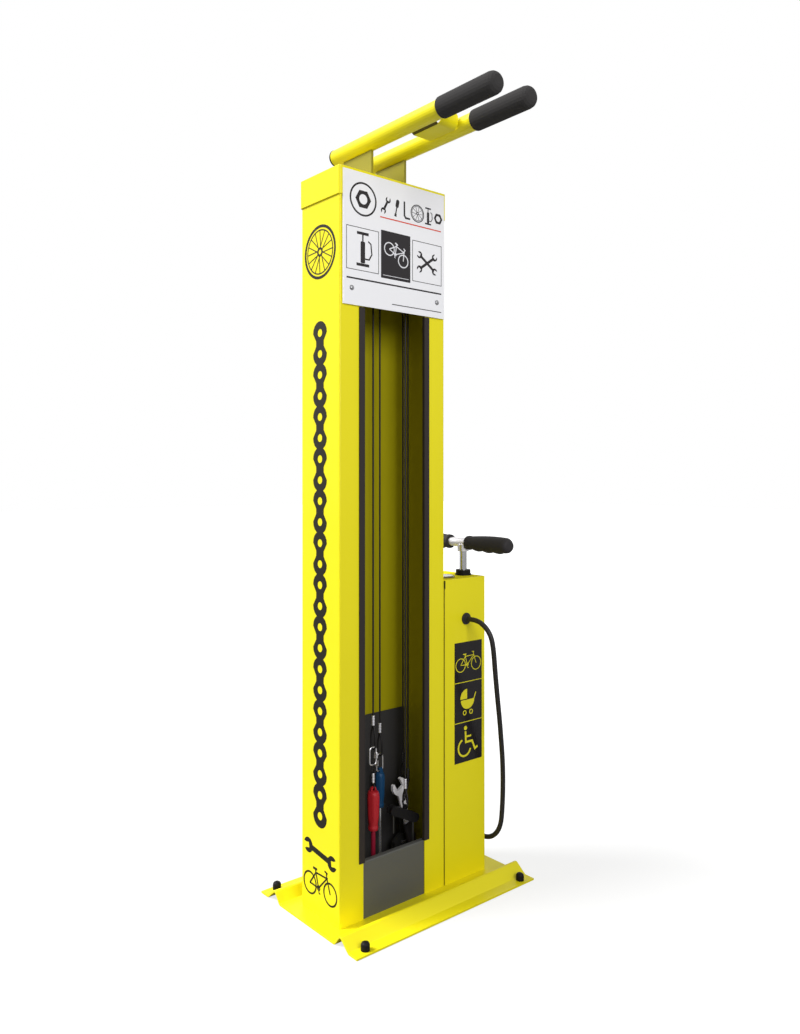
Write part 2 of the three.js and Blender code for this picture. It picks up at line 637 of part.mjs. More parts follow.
// Grommet where the hose leaves the front of the pump box
function hoseGrommet() {
  const { grommetRadius, grommetProud, holeRadius, bossRadius, flange, radius } = hose;
  const inner = -pumpBox.sheet - flange;
  const neck = holeRadius - gap;
  const ledge = -pumpBox.sheet - gap;
  const profile = [[0, inner], [neck + flange, inner], [neck + flange, ledge], [neck, ledge], [neck, gap],
    [grommetRadius, gap], [grommetRadius, flange], [bossRadius, flange + gap],
    [radius + flange / 2, grommetProud], [0, grommetProud]];
  const place = [hose.x, 0, pumpBox.height - hose.drop];
  return piece('hose_grommet', turned(profile).applyMatrix4(alongY), 'rubber', place);
}

// The hose hangs from the grommet in one long loop and rises beside the box to the parked head;
// its route follows the two ends wherever they are placed
function pumpHose() {
  const first = new THREE.Vector3(...hoseRoute[0]);
  const last = new THREE.Vector3(...hoseRoute[hoseRoute.length - 1]);
  const start = new THREE.Vector3(hose.x, -hose.grommetProud - gap, pumpBox.height - hose.drop)
    .sub(first);
  const end = new THREE.Vector3(pumpBox.width + head.standoff, head.y, head.foot - gap).sub(last);
  const route = hoseRoute.map((point, i) => {
    const shift = start.clone().lerp(end, i / (hoseRoute.length - 1));
    return new THREE.Vector3(...point).add(shift).toArray();
  });
  return piece('pump_hose', wire(route, hose.radius, hoseSteps), 'rubber');
}

// Pump head: hose shank, cross block with the valve mouth, and the thumb lever on its hinge
function pumpHead() {
  const { shankRadius, shankHeight, noseRadius, noseHeight, blockRadius, blockLength } = head;
  const { mouthRadius, mouthDepth, leverWidth, leverLength, leverSheet } = head;
  const { hingeRise, hingeRadius, earSheet } = head;
  const shank = turned([[0, 0], [noseRadius, 0], [noseRadius, noseHeight], [shankRadius, noseHeight + gap],
    [shankRadius, shankHeight], [0, shankHeight]]);
  const crossAxis = shankHeight + blockRadius / 2;
  const half = blockLength / 2;
  const nose = blockRadius - mouthRadius / 2;
  const cross = turned([[0, -half], [nose, -half], [blockRadius, -half + mouthRadius],
    [blockRadius, half - mouthRadius], [nose, half], [0, half]]).applyMatrix4(alongY)
    .translate(0, 0, crossAxis);
  const mouth = disc(mouthRadius, half - mouthDepth, half + overrun, coarse).applyMatrix4(alongY)
    .translate(0, 0, crossAxis);
  const pivot = [half - earSheet * 2, crossAxis + blockRadius + hingeRise];
  const ear = (x) => block([x - earSheet / 2, pivot[0] - 2 * hingeRadius, crossAxis],
    [x + earSheet / 2, pivot[0] + 2 * hingeRadius, pivot[1] + hingeRadius + earSheet / 2]);
  const reach = leverWidth / 2 + gap + earSheet / 2;
  const pin = disc(hingeRadius, -reach, reach, coarse).rotateY(Math.PI / 2).translate(0, ...pivot);
  const body = cut(join(shank, cross, ear(-reach), ear(reach), pin), mouth);
  const knuckle = hingeRadius + gap + leverSheet / 2;
  const wide = leverWidth / 2;
  const leverBar = block([-wide, -leverLength, -leverSheet / 2], [wide, 0, leverSheet / 2]);
  const barrel = disc(knuckle, -leverWidth / 2, leverWidth / 2, coarse).rotateY(Math.PI / 2);
  const eye = disc(hingeRadius + gap, -leverWidth, leverWidth, coarse).rotateY(Math.PI / 2);
  const thumb = disc(leverSheet, -leverWidth / 2, leverWidth / 2, coarse).rotateY(Math.PI / 2)
    .translate(0, -leverLength, leverSheet / 2);
  const lever = cut(join(leverBar, barrel, thumb), eye);
  const at = [pumpBox.width + head.standoff, head.y, head.foot];
  return [
    piece('pump_head', body, 'plastic', at),
    piece('pump_head_lever', lever, 'steel', [at[0], at[1] + pivot[0], at[2] + pivot[1]]),
  ];
}

// Clip on the box's far wall that holds the head's shank
function headClip() {
  const { height, wall, rise, plateWidth, plateSheet, mouth } = clip;
  const inner = head.shankRadius + gap;
  const ring = pipe(inner + wall, inner, 0, height, fine).translate(head.standoff, 0, 0);
  const back = block([gap, -plateWidth / 2, 0], [plateSheet + gap, plateWidth / 2, height]);
  const far = head.standoff + 2 * inner;
  const opening = block([head.standoff, -mouth / 2, -overrun], [far, mouth / 2, height + overrun]);
  const clear = disc(inner, -overrun, height + overrun, fine).translate(head.standoff, 0, 0);
  const bracket = cut(join(ring, back), opening, clear);
  return piece('head_clip', bracket, 'steel', [pumpBox.width, head.y, head.foot + head.noseHeight + rise]);
}

// One tool line: a stop above the shelf, the cable, a ferrule, and an eye in the YZ plane
function toolLine(name, line) {
  const { radius, ferruleRadius, ferruleLength, eyeHalf, stopRadius, stopLength } = cable;
  const { eyeLength = cable.eyeLength, eyeShift = 0 } = line;
  const stopFoot = hanger.underside + hanger.sheet + gap;
  const eyeCentre = line.eyeFoot + radius + eyeHalf;
  const ferruleFoot = line.eyeFoot + eyeLength;
  const ferruleHead = ferruleFoot + ferruleLength;
  const body = join(
    disc(stopRadius, stopFoot, stopFoot + stopLength, coarse),
    disc(radius, ferruleHead - radius, stopFoot + radius, wireSides),
    disc(ferruleRadius, ferruleFoot, ferruleHead, coarse),
    eye(eyeCentre, ferruleFoot + radius, eyeHalf, radius, eyeShift),
  );
  return piece(name, body, 'plastic', [line.x, line.y, 0]);
}

// A cable loop across Y round a centre, closing upwards into a ferrule and leaning by a shift in X
function eye(centre, top, half, radius, shift) {
  const steps = 16;
  const turn = [150, 180, 225, 270, 315, 360, 390].map((angle) => {
    const a = degrees(angle);
    return [shift, half * Math.cos(a), centre + half * Math.sin(a)];
  });
  const waist = (top - centre) / 2;
  const start = [[0, -radius / 2, top], [shift / 2, -half, centre + waist]];
  const end = start.map(([x, y, z]) => [x, -y, z]).reverse();
  return wire([...start, ...turn, ...end], radius, steps);
}

// Quick link in the XZ plane with its closing nut, its foot at the given height
function quickLink(name, line, foot) {
  const { wire: thick, width, height, nutRadius, nutLength } = link;
  const half = width / 2 - thick;
  const rise = height / 2 - thick - half;
  const outline = [];
  const arc = (centre, from) => {
    for (let k = 0; k <= 4; k += 1) {
      const a = from + Math.PI * k / 4;
      outline.push([half * Math.cos(a), 0, centre + half * Math.sin(a)]);
    }
  };
  arc(rise, 0);
  arc(-rise, Math.PI);
  const path = new THREE.CatmullRomCurve3(outline.map((point) => new THREE.Vector3(...point)), true);
  const steps = 28;
  const rings = [];
  for (let i = 0; i < steps; i += 1) {
    const at = path.getPointAt(i / steps);
    const side = path.getTangentAt(i / steps).cross(Y).normalize();
    rings.push(Array.from({ length: wireSides }, (_, k) => {
      const a = 2 * Math.PI * k / wireSides;
      const out = at.clone().addScaledVector(side, thick * Math.cos(a));
      return out.addScaledVector(Y, thick * Math.sin(a));
    }));
  }
  const loop = closedLoft(rings);
  const nut = disc(nutRadius, -nutLength / 2, nutLength / 2, hexagon).translate(half, 0, 0);
  return piece(name, join(loop, nut), 'steel', [line.x, line.y, foot + height / 2]);
}

// A closed tube over rings whose last ring meets the first
function closedLoft(rings) {
  const count = rings[0].length;
  const index = [];
  rings.forEach((_, i) => {
    const next = (i + 1) % rings.length;
    for (let k = 0; k < count; k += 1) {
      const [a, b] = [i * count + k, i * count + (k + 1) % count];
      const [c, d] = [next * count + (k + 1) % count, next * count + k];
      index.push(a, b, c, a, c, d);
    }
  });
  const positions = rings.flat().flatMap((point) => [point.x, point.y, point.z]);
  const geometry = new THREE.BufferGeometry();
  geometry.setAttribute('position', new THREE.Float32BufferAttribute(positions, 3));
  geometry.setIndex(index);
  return tidy(geometry);
}

// A fluted screwdriver handle with a drilled lug on its head; its head is at zero, its neck below
function driverHandle(size, lugAlong) {
  const shares = [[0.0, 0.55], [0.03, 0.8], [0.1, 0.96], [0.2, 1], [0.45, 0.94], [0.68, 0.9],
    [0.8, 0.78], [0.88, 0.72], [0.94, 0.8], [1, 0.74]];
  const fluteShares = { depth: 0.07, from: 0.08, to: 0.75 };
  const reach = size.length - size.lug;
  const rings = shares.map(([down, across]) => Array.from({ length: fine }, (_, k) => {
    const angle = 2 * Math.PI * k / fine;
    const fluted = down > fluteShares.from && down < fluteShares.to;
    const depth = fluted ? fluteShares.depth * (1 - Math.cos(size.flutes * angle)) / 2 : 0;
    const r = size.radius * across * (1 - depth);
    return new THREE.Vector3(r * Math.cos(angle), r * Math.sin(angle), -size.lug - reach * down);
  }));
  const lugHeight = size.lug + size.holeRadius;
  const wide = size.radius / 2;
  const lugOutline = new THREE.Shape();
  lugOutline.moveTo(-wide, -lugHeight);
  lugOutline.lineTo(wide, -lugHeight);
  lugOutline.lineTo(wide, -wide);
  lugOutline.absarc(0, -wide, wide, 0, Math.PI);
  lugOutline.closePath();
  const lug = extrude(lugOutline, 2 * size.lugHalf, 2 * fold).applyMatrix4(lugAlong).translate(
    ...new THREE.Vector3(0, 0, -size.lugHalf).applyMatrix4(lugAlong));
  const hole = disc(size.holeRadius, -size.radius, size.radius, coarse).applyMatrix4(lugAlong);
  const socket = disc(size.bladeRadius + gap, -size.length - overrun, -size.length + size.neck, coarse);
  return cut(join(loft(rings), lug), hole.translate(0, 0, -size.holeDrop), socket);
}

// A flat screwdriver blade in its sleeve, hanging below the handle
function driverBlade(size) {
  const { bladeRadius, bladeLength, tip, neck, length } = size;
  const top = -length + neck - gap;
  const foot = -length - bladeLength;
  const flareStart = foot + 3 * bladeRadius;
  const rod = disc(bladeRadius, flareStart, top, coarse);
  const square = bladeRadius * Math.SQRT1_2;
  const stations = [[flareStart, square, square], [foot + bladeRadius, bladeRadius, tip],
    [foot, bladeRadius, tip / 2]];
  const rings = stations.map(([z, across, thick]) => [[-1, -1], [1, -1], [1, 1], [-1, 1]]
    .map(([x, y]) => new THREE.Vector3(x * across, y * thick, z)));
  return join(rod, loft(rings));
}

// Screwdriver pieces hung so that the lug's hole is at the given height
function screwdriver(colour, size, line, hole, lugAlong) {
  const at = [line.x, line.y, hole + size.holeDrop];
  return [
    piece(`screwdriver_${colour}_handle`, driverHandle(size, lugAlong), colour, at),
    piece(`screwdriver_${colour}_blade`, driverBlade(size), size.blade, at),
  ];
}

// A closed cable loop between the red driver's lug and its link, with one ferrule
function lanyard(line, linkFoot, foot) {
  const { radius, ferruleRadius, ferruleLength } = cable;
  const half = strop.half;
  const top = linkFoot + 2 * link.wire + gap + radius - half;
  const low = foot + radius + half;
  const points = [];
  const arc = (centre, from) => [0, 45, 90, 135, 180].forEach((angle) => {
    const a = degrees(angle) + from;
    points.push([0, half * Math.cos(a), centre + half * Math.sin(a)]);
  });
  arc(top, 0);
  const waist = (top + low) / 2;
  points.push([0, -radius, waist]);
  arc(low, Math.PI);
  points.push([0, radius, waist]);
  const path = new THREE.CatmullRomCurve3(points.map((point) => new THREE.Vector3(...point)), true);
  const steps = 30;
  const rings = Array.from({ length: steps }, (_, i) => {
    const at = path.getPointAt(i / steps);
    const side = path.getTangentAt(i / steps).cross(X).normalize();
    return Array.from({ length: wireSides }, (_, k) => {
      const a = 2 * Math.PI * k / wireSides;
      const out = at.clone().addScaledVector(side, radius * Math.cos(a));
      return out.addScaledVector(X, radius * Math.sin(a));
    });
  });
  const reach = ferruleLength / 2;
  const loop = join(closedLoft(rings), disc(ferruleRadius, waist - reach, waist + reach, coarse));
  return piece('tool_lanyard_red', loop, 'plastic', [line.x, line.y, 0]);
}

// Open-end and ring wrench in the XZ plane, its drilled neck hole at the origin, head up
function openWrench(line, hole) {
  const { headRadius, jaw, jawDepth, jawTilt, headSheet, shankSheet, neckHalf, endHalf } = wrench;
  const { length, ringRadius, ringBore, holeRadius, holeDrop, lean } = wrench;
  const { sleeveDrop, sleeveLength, sleeveWall } = wrench;
  const tipShare = 0.72;
  const ringDrop = length - headRadius - ringRadius;
  const flat = (shape, sheet, steps = 2 * fold) => extrude(shape, sheet, steps).applyMatrix4(alongY)
    .translate(0, sheet / 2, 0);
  const circle = (radius, x, z) => new THREE.Shape().absarc(x, z, radius, 0, 2 * Math.PI);
  const top = holeDrop;
  const headDisc = flat(circle(headRadius, 0, top), headSheet);
  const tilted = (low, high) => block(low, high).rotateY(degrees(-jawTilt)).translate(0, 0, top);
  const wide = headRadius + overrun;
  const jaws = tilted([-jaw / 2, -headSheet, headRadius - jawDepth], [jaw / 2, headSheet, wide]);
  const tips = tilted([-wide, -headSheet, headRadius * tipShare], [wide, headSheet, 2 * headRadius]);
  const foot = top - ringDrop;
  const neck = top - headRadius / 2;
  const shank = flat(polygon([[-endHalf, foot], [endHalf, foot], [neckHalf, neck], [-neckHalf, neck]]),
    shankSheet);
  const ring = flat(circle(ringRadius, 0, foot), headSheet);
  const bore = disc(ringBore, -headSheet, headSheet, coarse).applyMatrix4(alongY).translate(0, 0, foot);
  const neckHole = disc(holeRadius, -headSheet, headSheet, coarse).applyMatrix4(alongY);
  const body = cut(join(headDisc, shank, ring), jaws, tips, bore, neckHole);
  const collar = top - sleeveDrop;
  const widest = neckHalf + sleeveWall;
  const thick = shankSheet / 2 + sleeveWall;
  const outline = roundedRectangle(-widest, -thick, widest, thick, sleeveWall);
  const outer = extrude(outline, sleeveLength).translate(0, 0, collar - sleeveLength);
  const inner = block([-neckHalf - gap, -shankSheet / 2 - gap, collar - sleeveLength - overrun],
    [neckHalf + gap, shankSheet / 2 + gap, collar + overrun]);
  const at = [line.x + line.eyeShift, line.y, hole];
  const turn = [0, degrees(-lean), 0];
  return [
    piece('open_wrench', body, 'steel', at, turn),
    piece('open_wrench_sleeve', cut(outer, inner), 'rubber', at, turn),
  ];
}

// Adjustable wrench hung by its handle, head down: body, sliding jaw with its rack, and worm
function adjustableWrench(line, hole) {
  const { length, handleHalf, neckHalf, sheet, endRadius, holeRadius } = adjustable;
  const { headSheet, headLeft, headRight, headHeight, fixedJaw, jawHeight, jawNose } = adjustable;
  const { railRadius, railDrop, railLength, webHalf, opening, jawWidth } = adjustable;
  const { wormRadius, wormRib, wormLength, wormPitch, pinRadius, windowGap } = adjustable;
  const flat = (shape, thick) => extrude(shape, thick, 2 * fold).applyMatrix4(alongY)
    .translate(0, thick / 2, 0);
  const bar = (radius, from, to, z) => disc(radius, from, to, coarse).rotateY(Math.PI / 2)
    .translate(0, 0, z);
  const headTop = -(length - headHeight - jawHeight);
  const face = headTop - headHeight;
  const fixedFace = headLeft + fixedJaw;
  const handle = flat(polygon([[-handleHalf, 0], [-neckHalf, headTop], [neckHalf, headTop],
    [handleHalf, 0]]), sheet);
  const end = flat(new THREE.Shape().absarc(0, 0, endRadius, 0, 2 * Math.PI), sheet);
  const headOutline = polygon([[-neckHalf, headTop + neckHalf], [headLeft, headTop - neckHalf],
    [headLeft, face - jawHeight / 2], [fixedFace - jawNose, face - jawHeight],
    [fixedFace, face - jawHeight], [fixedFace, face], [headRight, face], [headRight, headTop],
    [neckHalf, headTop + neckHalf]]);
  const railAxis = face + railDrop;
  const past = headRight + overrun;
  const channel = bar(railRadius + gap, fixedFace, past, railAxis);
  const mouth = block([fixedFace, -webHalf - gap, face - overrun], [past, webHalf + gap, railAxis]);
  const wormAxis = railAxis + railRadius + gap + wormRadius;
  const wormLeft = (fixedFace + headRight - wormLength) / 2;
  const wormRight = wormLeft + wormLength;
  const window = block([wormLeft - windowGap, -headSheet, railAxis],
    [wormRight + windowGap, headSheet, wormAxis + wormRadius + windowGap]);
  const pin = bar(pinRadius, wormLeft - windowGap - bite, wormRight + windowGap + bite, wormAxis);
  const hangHole = disc(holeRadius, -sheet, sheet, coarse).applyMatrix4(alongY);
  const solid = cut(join(handle, end, flat(headOutline, headSheet)), channel, mouth, window, hangHole);
  const body = join(solid, pin);

  const jawLeft = fixedFace + opening;
  const jawRight = jawLeft + jawWidth;
  const jawOutline = polygon([[jawLeft, face - gap], [jawLeft, face - jawHeight],
    [jawLeft + jawNose, face - jawHeight], [jawRight, face - jawHeight / 2], [jawRight, face - gap]]);
  const rail = bar(railRadius, jawLeft, jawLeft + railLength, railAxis);
  const web = block([jawLeft, -webHalf, face - gap - bite], [jawRight, webHalf, railAxis]);
  const teeth = [];
  for (let x = jawLeft + wormPitch; x < jawLeft + railLength - wormPitch; x += wormPitch) {
    const root = railAxis + railRadius - wormRib;
    teeth.push(block([x, -railRadius, root], [x + wormPitch / 2, railRadius, root + 2 * wormRib]));
  }
  const jaw = cut(join(flat(jawOutline, headSheet), rail, web), ...teeth);

  const root = wormRadius - wormRib;
  const bore = pinRadius + gap;
  const turns = Math.floor(wormLength / wormPitch);
  const pitch = wormLength / turns;
  const ribShares = [[root, 0.25], [wormRadius, 0.4], [wormRadius, 0.6], [root, 0.75]];
  const ribs = Array.from({ length: turns }, (_, k) => ribShares
    .map(([across, share]) => [across, pitch * (k + share)])).flat();
  const worm = turned([[bore, 0], [root, 0], ...ribs, [root, wormLength], [bore, wormLength], [bore, 0]],
    coarse).rotateY(Math.PI / 2);
  const at = [line.x, line.y, hole];
  return [
    piece('adjustable_wrench', body, 'steel', at),
    piece('adjustable_jaw', jaw, 'steel', at),
    piece('adjustable_worm', worm, 'steel', [line.x + wormLeft, line.y, hole + wormAxis]),
  ];
}

// Folding set of hexagon keys: two cheeks on end pins with a spine, and a key open at each end
function hexKeySet(line, hole) {
  const { length, radius, cheek, channel, spine, pin, tilt, lugSheet, lugRadius, lugRise } = hexSet;
  const { holeRadius, eyeRadius, keyLarge, keySmall, keyLargeLength, keySmallLength } = hexSet;
  const half = length / 2 - radius;
  const stadium = new THREE.Shape();
  stadium.absarc(half, 0, radius, -Math.PI / 2, Math.PI / 2);
  stadium.absarc(-half, 0, radius, Math.PI / 2, 3 * Math.PI / 2);
  stadium.closePath();
  const side = (from) => extrude(stadium, cheek, fold).applyMatrix4(alongY).translate(0, from, 0);
  const inside = channel / 2;
  const mid = inside + cheek / 2;
  const back = block([-half + radius, -mid, radius - spine], [half - radius, mid, radius]);
  const pins = [-half, half].map((x) => disc(pin, -mid, mid, coarse).applyMatrix4(alongY)
    .translate(x, 0, 0));
  const angle = degrees(tilt);
  const lugOutline = new THREE.Shape().absarc(0, lugRise, lugRadius, 0, 2 * Math.PI);
  const lug = extrude(lugOutline, lugSheet, fold).applyMatrix4(alongY).translate(0, lugSheet / 2, 0);
  const lugHole = disc(holeRadius, -channel, channel, coarse).applyMatrix4(alongY)
    .translate(0, 0, lugRise);
  const body = cut(join(side(inside + cheek), side(-inside), back, ...pins, lug), lugHole);
  const key = (size, reach, layer) => {
    const bar = disc(size, -reach, -pin, hexagon);
    const eyeBody = disc(eyeRadius, -size, size, coarse).applyMatrix4(alongY);
    const bore = disc(pin + gap, -channel, channel, coarse).applyMatrix4(alongY);
    return cut(join(bar, eyeBody), bore).translate(0, layer, 0);
  };
  const drop = new THREE.Vector3(0, 0, lugRise).applyAxisAngle(Y, angle);
  const centre = new THREE.Vector3(line.x, line.y, hole).sub(drop);
  const pivot = (x) => new THREE.Vector3(x, 0, 0).applyAxisAngle(Y, angle).add(centre).toArray();
  const large = key(keyLarge, keyLargeLength, inside - keyLarge - gap);
  const small = key(keySmall, keySmallLength, keySmall + gap - inside);
  return [
    piece('hex_key_holder', body, 'plastic', centre.toArray(), [0, angle, 0]),
    piece('hex_key_large', large, 'steel', pivot(half)),
    piece('hex_key_small', small, 'steel', pivot(-half)),
  ];
}

const station = new THREE.Group();
station.add(basePlate(), ...anchorCaps());
const placed = (line) => {
  const [across, back] = line.shares;
  return { ...line, x: column.width * across, y: column.depth * back };
};
const lines = [redLine, blueLine, wrenchLine, adjustableLine, hexLine].map(placed);
const [red, blue, openEnd, adjustableEnd, keys] = lines;
const corner = [column.leftMargin - base.length / 2, -column.depth / 2, base.sheet];
station.add(group(corner, casing(), topLid(), infoPlate(), ...slotTrims(), kickPanel(), backLining(),
  cableHanger(lines), ...arms()));
const linkFoot = (line) => line.eyeFoot + 2 * (cable.radius + link.wire) + gap - link.height;
const eyeHole = (line) => line.eyeFoot + cable.radius;
const lanyardFoot = linkFoot(red) - strop.drop;
const redHole = lanyardFoot + cable.radius + gap;
const tools = [
  ...lines.map((line, i) => toolLine(`tool_cable_${i + 1}`, line)),
  quickLink('tool_link_red', red, linkFoot(red)),
  quickLink('tool_link_blue', blue, linkFoot(blue)),
  lanyard(red, linkFoot(red), lanyardFoot),
  ...screwdriver('red', redDriver, red, redHole, alongY),
  ...screwdriver('blue', blueDriver, blue, linkFoot(blue) + link.wire, alongX),
  ...openWrench(openEnd, eyeHole(openEnd)),
  ...adjustableWrench(adjustableEnd, eyeHole(adjustableEnd)),
  ...hexKeySet(keys, eyeHole(keys)),
];
station.add(group(corner, ...tools));
const pumpCorner = [corner[0] + column.width, corner[1], corner[2]];
const gaugePlace = [gauge.x, gauge.y, pumpBox.height];
station.add(group(pumpCorner, ...pumpCasing(), ...pumpWorks(), hoseGrommet(), pumpHose(), ...pumpHead(),
  headClip(), group(gaugePlace, ...pressureGauge())));

export default station;
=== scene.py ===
"""Looks of an outdoor bicycle repair station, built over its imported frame.

All lengths are metres in the station's own frame: the origin is on the floor under the middle of the
base plate, +X runs along the slotted front towards the pump box, +Y to the back and +Z up.
"""

from __future__ import annotations

import json
import logging
import math
from dataclasses import dataclass, field, replace
from enum import Enum
from typing import Iterable, Sequence

import bpy
from mathutils import Matrix, Vector

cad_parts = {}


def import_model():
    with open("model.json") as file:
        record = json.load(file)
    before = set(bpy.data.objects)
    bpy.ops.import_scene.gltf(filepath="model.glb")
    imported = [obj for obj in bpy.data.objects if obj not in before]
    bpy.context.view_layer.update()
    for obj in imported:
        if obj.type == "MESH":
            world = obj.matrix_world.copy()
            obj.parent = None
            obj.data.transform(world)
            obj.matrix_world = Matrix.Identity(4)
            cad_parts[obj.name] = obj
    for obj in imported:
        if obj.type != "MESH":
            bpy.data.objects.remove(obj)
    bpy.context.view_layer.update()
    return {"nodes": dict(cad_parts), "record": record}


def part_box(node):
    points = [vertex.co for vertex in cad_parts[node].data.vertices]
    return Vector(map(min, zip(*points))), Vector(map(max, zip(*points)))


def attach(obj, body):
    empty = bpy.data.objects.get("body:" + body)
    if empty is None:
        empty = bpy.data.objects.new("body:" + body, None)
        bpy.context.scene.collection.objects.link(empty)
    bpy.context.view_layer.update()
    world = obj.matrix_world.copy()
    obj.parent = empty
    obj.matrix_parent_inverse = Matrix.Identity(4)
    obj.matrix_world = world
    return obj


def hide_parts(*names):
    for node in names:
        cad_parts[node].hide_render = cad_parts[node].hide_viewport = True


LOG = logging.getLogger("repair_station")

Point = tuple[float, float]
Place = tuple[float, float, float]
Colour = tuple[float, float, float]

COLUMN_FOOT: Place = (-0.2035, -0.0645, 0.004)
PUMP_FOOT: Place = (0.0675, -0.0645, 0.004)
COAT_ROUGHNESS = 0.08


def linear(colour: Colour) -> tuple[float, float, float, float]:
    """Turn a display colour into the linear one that a shader takes.

    Args:
        colour: Red, green and blue from 0 to 1 as a screen shows them.

    Returns:
        The linear red, green and blue with an alpha of 1.
    """
    return (*(c / 12.92 if c <= 0.04045 else ((c + 0.055) / 1.055) ** 2.4 for c in colour), 1.0)


def deselect() -> None:
    """Leave edit mode and select nothing."""
    if bpy.context.object and bpy.context.object.mode != "OBJECT":
        bpy.ops.object.mode_set(mode="OBJECT")
    bpy.ops.object.select_all(action="DESELECT")


def pick(pieces: Sequence[bpy.types.Object]) -> None:
    """Select exactly these objects and make the first one active.

    Args:
        pieces: The objects to select.
    """
    deselect()
    for piece in pieces:
        piece.select_set(True)
    bpy.context.view_layer.objects.active = pieces[0]


def merged(pieces: Sequence[bpy.types.Object]) -> bpy.types.Object:
    """Join objects into one mesh.

    Args:
        pieces: The mesh objects to join.

    Returns:
        The joined object.
    """
    pick(pieces)
    if len(pieces) > 1:
        bpy.ops.object.join()
    return bpy.context.object


def settled(piece: bpy.types.Object) -> bpy.types.Object:
    """Move a piece's place, turn and scale into its mesh.

    Args:
        piece: The object to settle.

    Returns:
        The same object, at the origin.
    """
    pick([piece])
    bpy.ops.object.transform_apply(location=True, rotation=True, scale=True)
    return piece


def modified(piece: bpy.types.Object, kind: str, **values: object) -> bpy.types.Object:
    """Add one modifier and apply it.

    Args:
        piece: The object to change.
        kind: The modifier's type.
        **values: Settings of the modifier.

    Returns:
        The same object.
    """
    pick([piece])
    modifier = piece.modifiers.new(kind.title(), kind)
    for key, value in values.items():
        setattr(modifier, key, value)
    bpy.ops.object.modifier_apply(modifier=modifier.name)
    return piece


def smooth(piece: bpy.types.Object, angle: float = 35.0) -> bpy.types.Object:
    """Shade a piece smooth, apart from its sharp edges.

    Args:
        piece: The object to shade.
        angle: Edges sharper than this many degrees stay sharp.

    Returns:
        The same object.
    """
    pick([piece])
    bpy.ops.object.shade_smooth_by_angle(angle=math.radians(angle), keep_sharp_edges=False)
    return piece


def recalculated(piece: bpy.types.Object) -> bpy.types.Object:
    """Merge a mesh's doubles and turn its faces outwards.

    Args:
        piece: The object to clean.

    Returns:
        The same object.
    """
    pick([piece])
    bpy.ops.object.mode_set(mode="EDIT")
    bpy.ops.mesh.select_all(action="SELECT")
    bpy.ops.mesh.remove_doubles(threshold=1e-6)
    bpy.ops.mesh.normals_make_consistent(inside=False)
    bpy.ops.object.mode_set(mode="OBJECT")
    return piece


def turned_profile(profile: Sequence[Point], steps: int = 48) -> bpy.types.Object:
    """Spin a profile about +Z into a closed turned part.

    Args:
        profile: Radius and height pairs; the ends lie on the axis or meet.
        steps: The number of segments round the axis.

    Returns:
        The new object.
    """
    deselect()
    bpy.ops.mesh.primitive_plane_add(size=1)
    piece = bpy.context.object
    edges = [(i, i + 1) for i in range(len(profile) - 1)]
    piece.data.clear_geometry()
    piece.data.from_pydata([(r, 0, z) for r, z in profile], edges, [])
    bpy.ops.object.mode_set(mode="EDIT")
    bpy.ops.mesh.select_all(action="SELECT")
    bpy.ops.mesh.spin(steps=steps, angle=2 * math.pi, center=(0, 0, 0), axis=(0, 0, 1))
    bpy.ops.object.mode_set(mode="OBJECT")
    return recalculated(piece)


def folded(points: Sequence[Place], along: Place, thickness: float) -> bpy.types.Object:
    """Fold a sheet along a line of points.

    Args:
        points: The middle of the sheet's section.
        along: How far the section is drawn out, and which way.
        thickness: The sheet's thickness.

    Returns:
        The new object.
    """
    deselect()
    bpy.ops.mesh.primitive_plane_add(size=1)
    piece = bpy.context.object
    piece.data.clear_geometry()
    piece.data.from_pydata(points, [(i, i + 1) for i in range(len(points) - 1)], [])
    bpy.ops.object.mode_set(mode="EDIT")
    bpy.ops.mesh.select_all(action="SELECT")
    bpy.ops.mesh.extrude_region_move(TRANSFORM_OT_translate={"value": along})
    bpy.ops.object.mode_set(mode="OBJECT")
    recalculated(piece)
    modified(piece, "SOLIDIFY", thickness=thickness, offset=0)
    return recalculated(piece)


def moved(piece: bpy.types.Object, matrix: Matrix) -> bpy.types.Object:
    """Place a mesh by a matrix, keeping its object at the origin.

    Args:
        piece: The object to place.
        matrix: Where its mesh goes.

    Returns:
        The same object.
    """
    piece.data.transform(matrix)
    piece.data.update()
    return piece


def meshed(curve: bpy.types.Object) -> bpy.types.Object:
    """Turn a round wire's curve into a clean, smooth mesh.

    Args:
        curve: The curve object.

    Returns:
        The same object.
    """
    pick([curve])
    bpy.ops.object.convert(target="MESH")
    return smooth(recalculated(curve), 60)


def wired(tree: bpy.types.NodeTree, kind: str, inputs: dict[str | int, object], **settings: object
          ) -> bpy.types.Node:
    """Add a shader node, set it up and feed its inputs.

    Args:
        tree: The tree that it goes in.
        kind: Its type, without the words that all types start with.
        inputs: What each input takes: a constant, or another node's output.
        **settings: The node's own settings.

    Returns:
        The new node.
    """
    made = tree.nodes.new(f"ShaderNode{kind}")
    for name, value in settings.items():
        setattr(made, name, value)
    for label, value in inputs.items():
        if isinstance(value, bpy.types.NodeSocket):
            tree.links.new(value, made.inputs[label])
        else:
            made.inputs[label].default_value = value
    return made


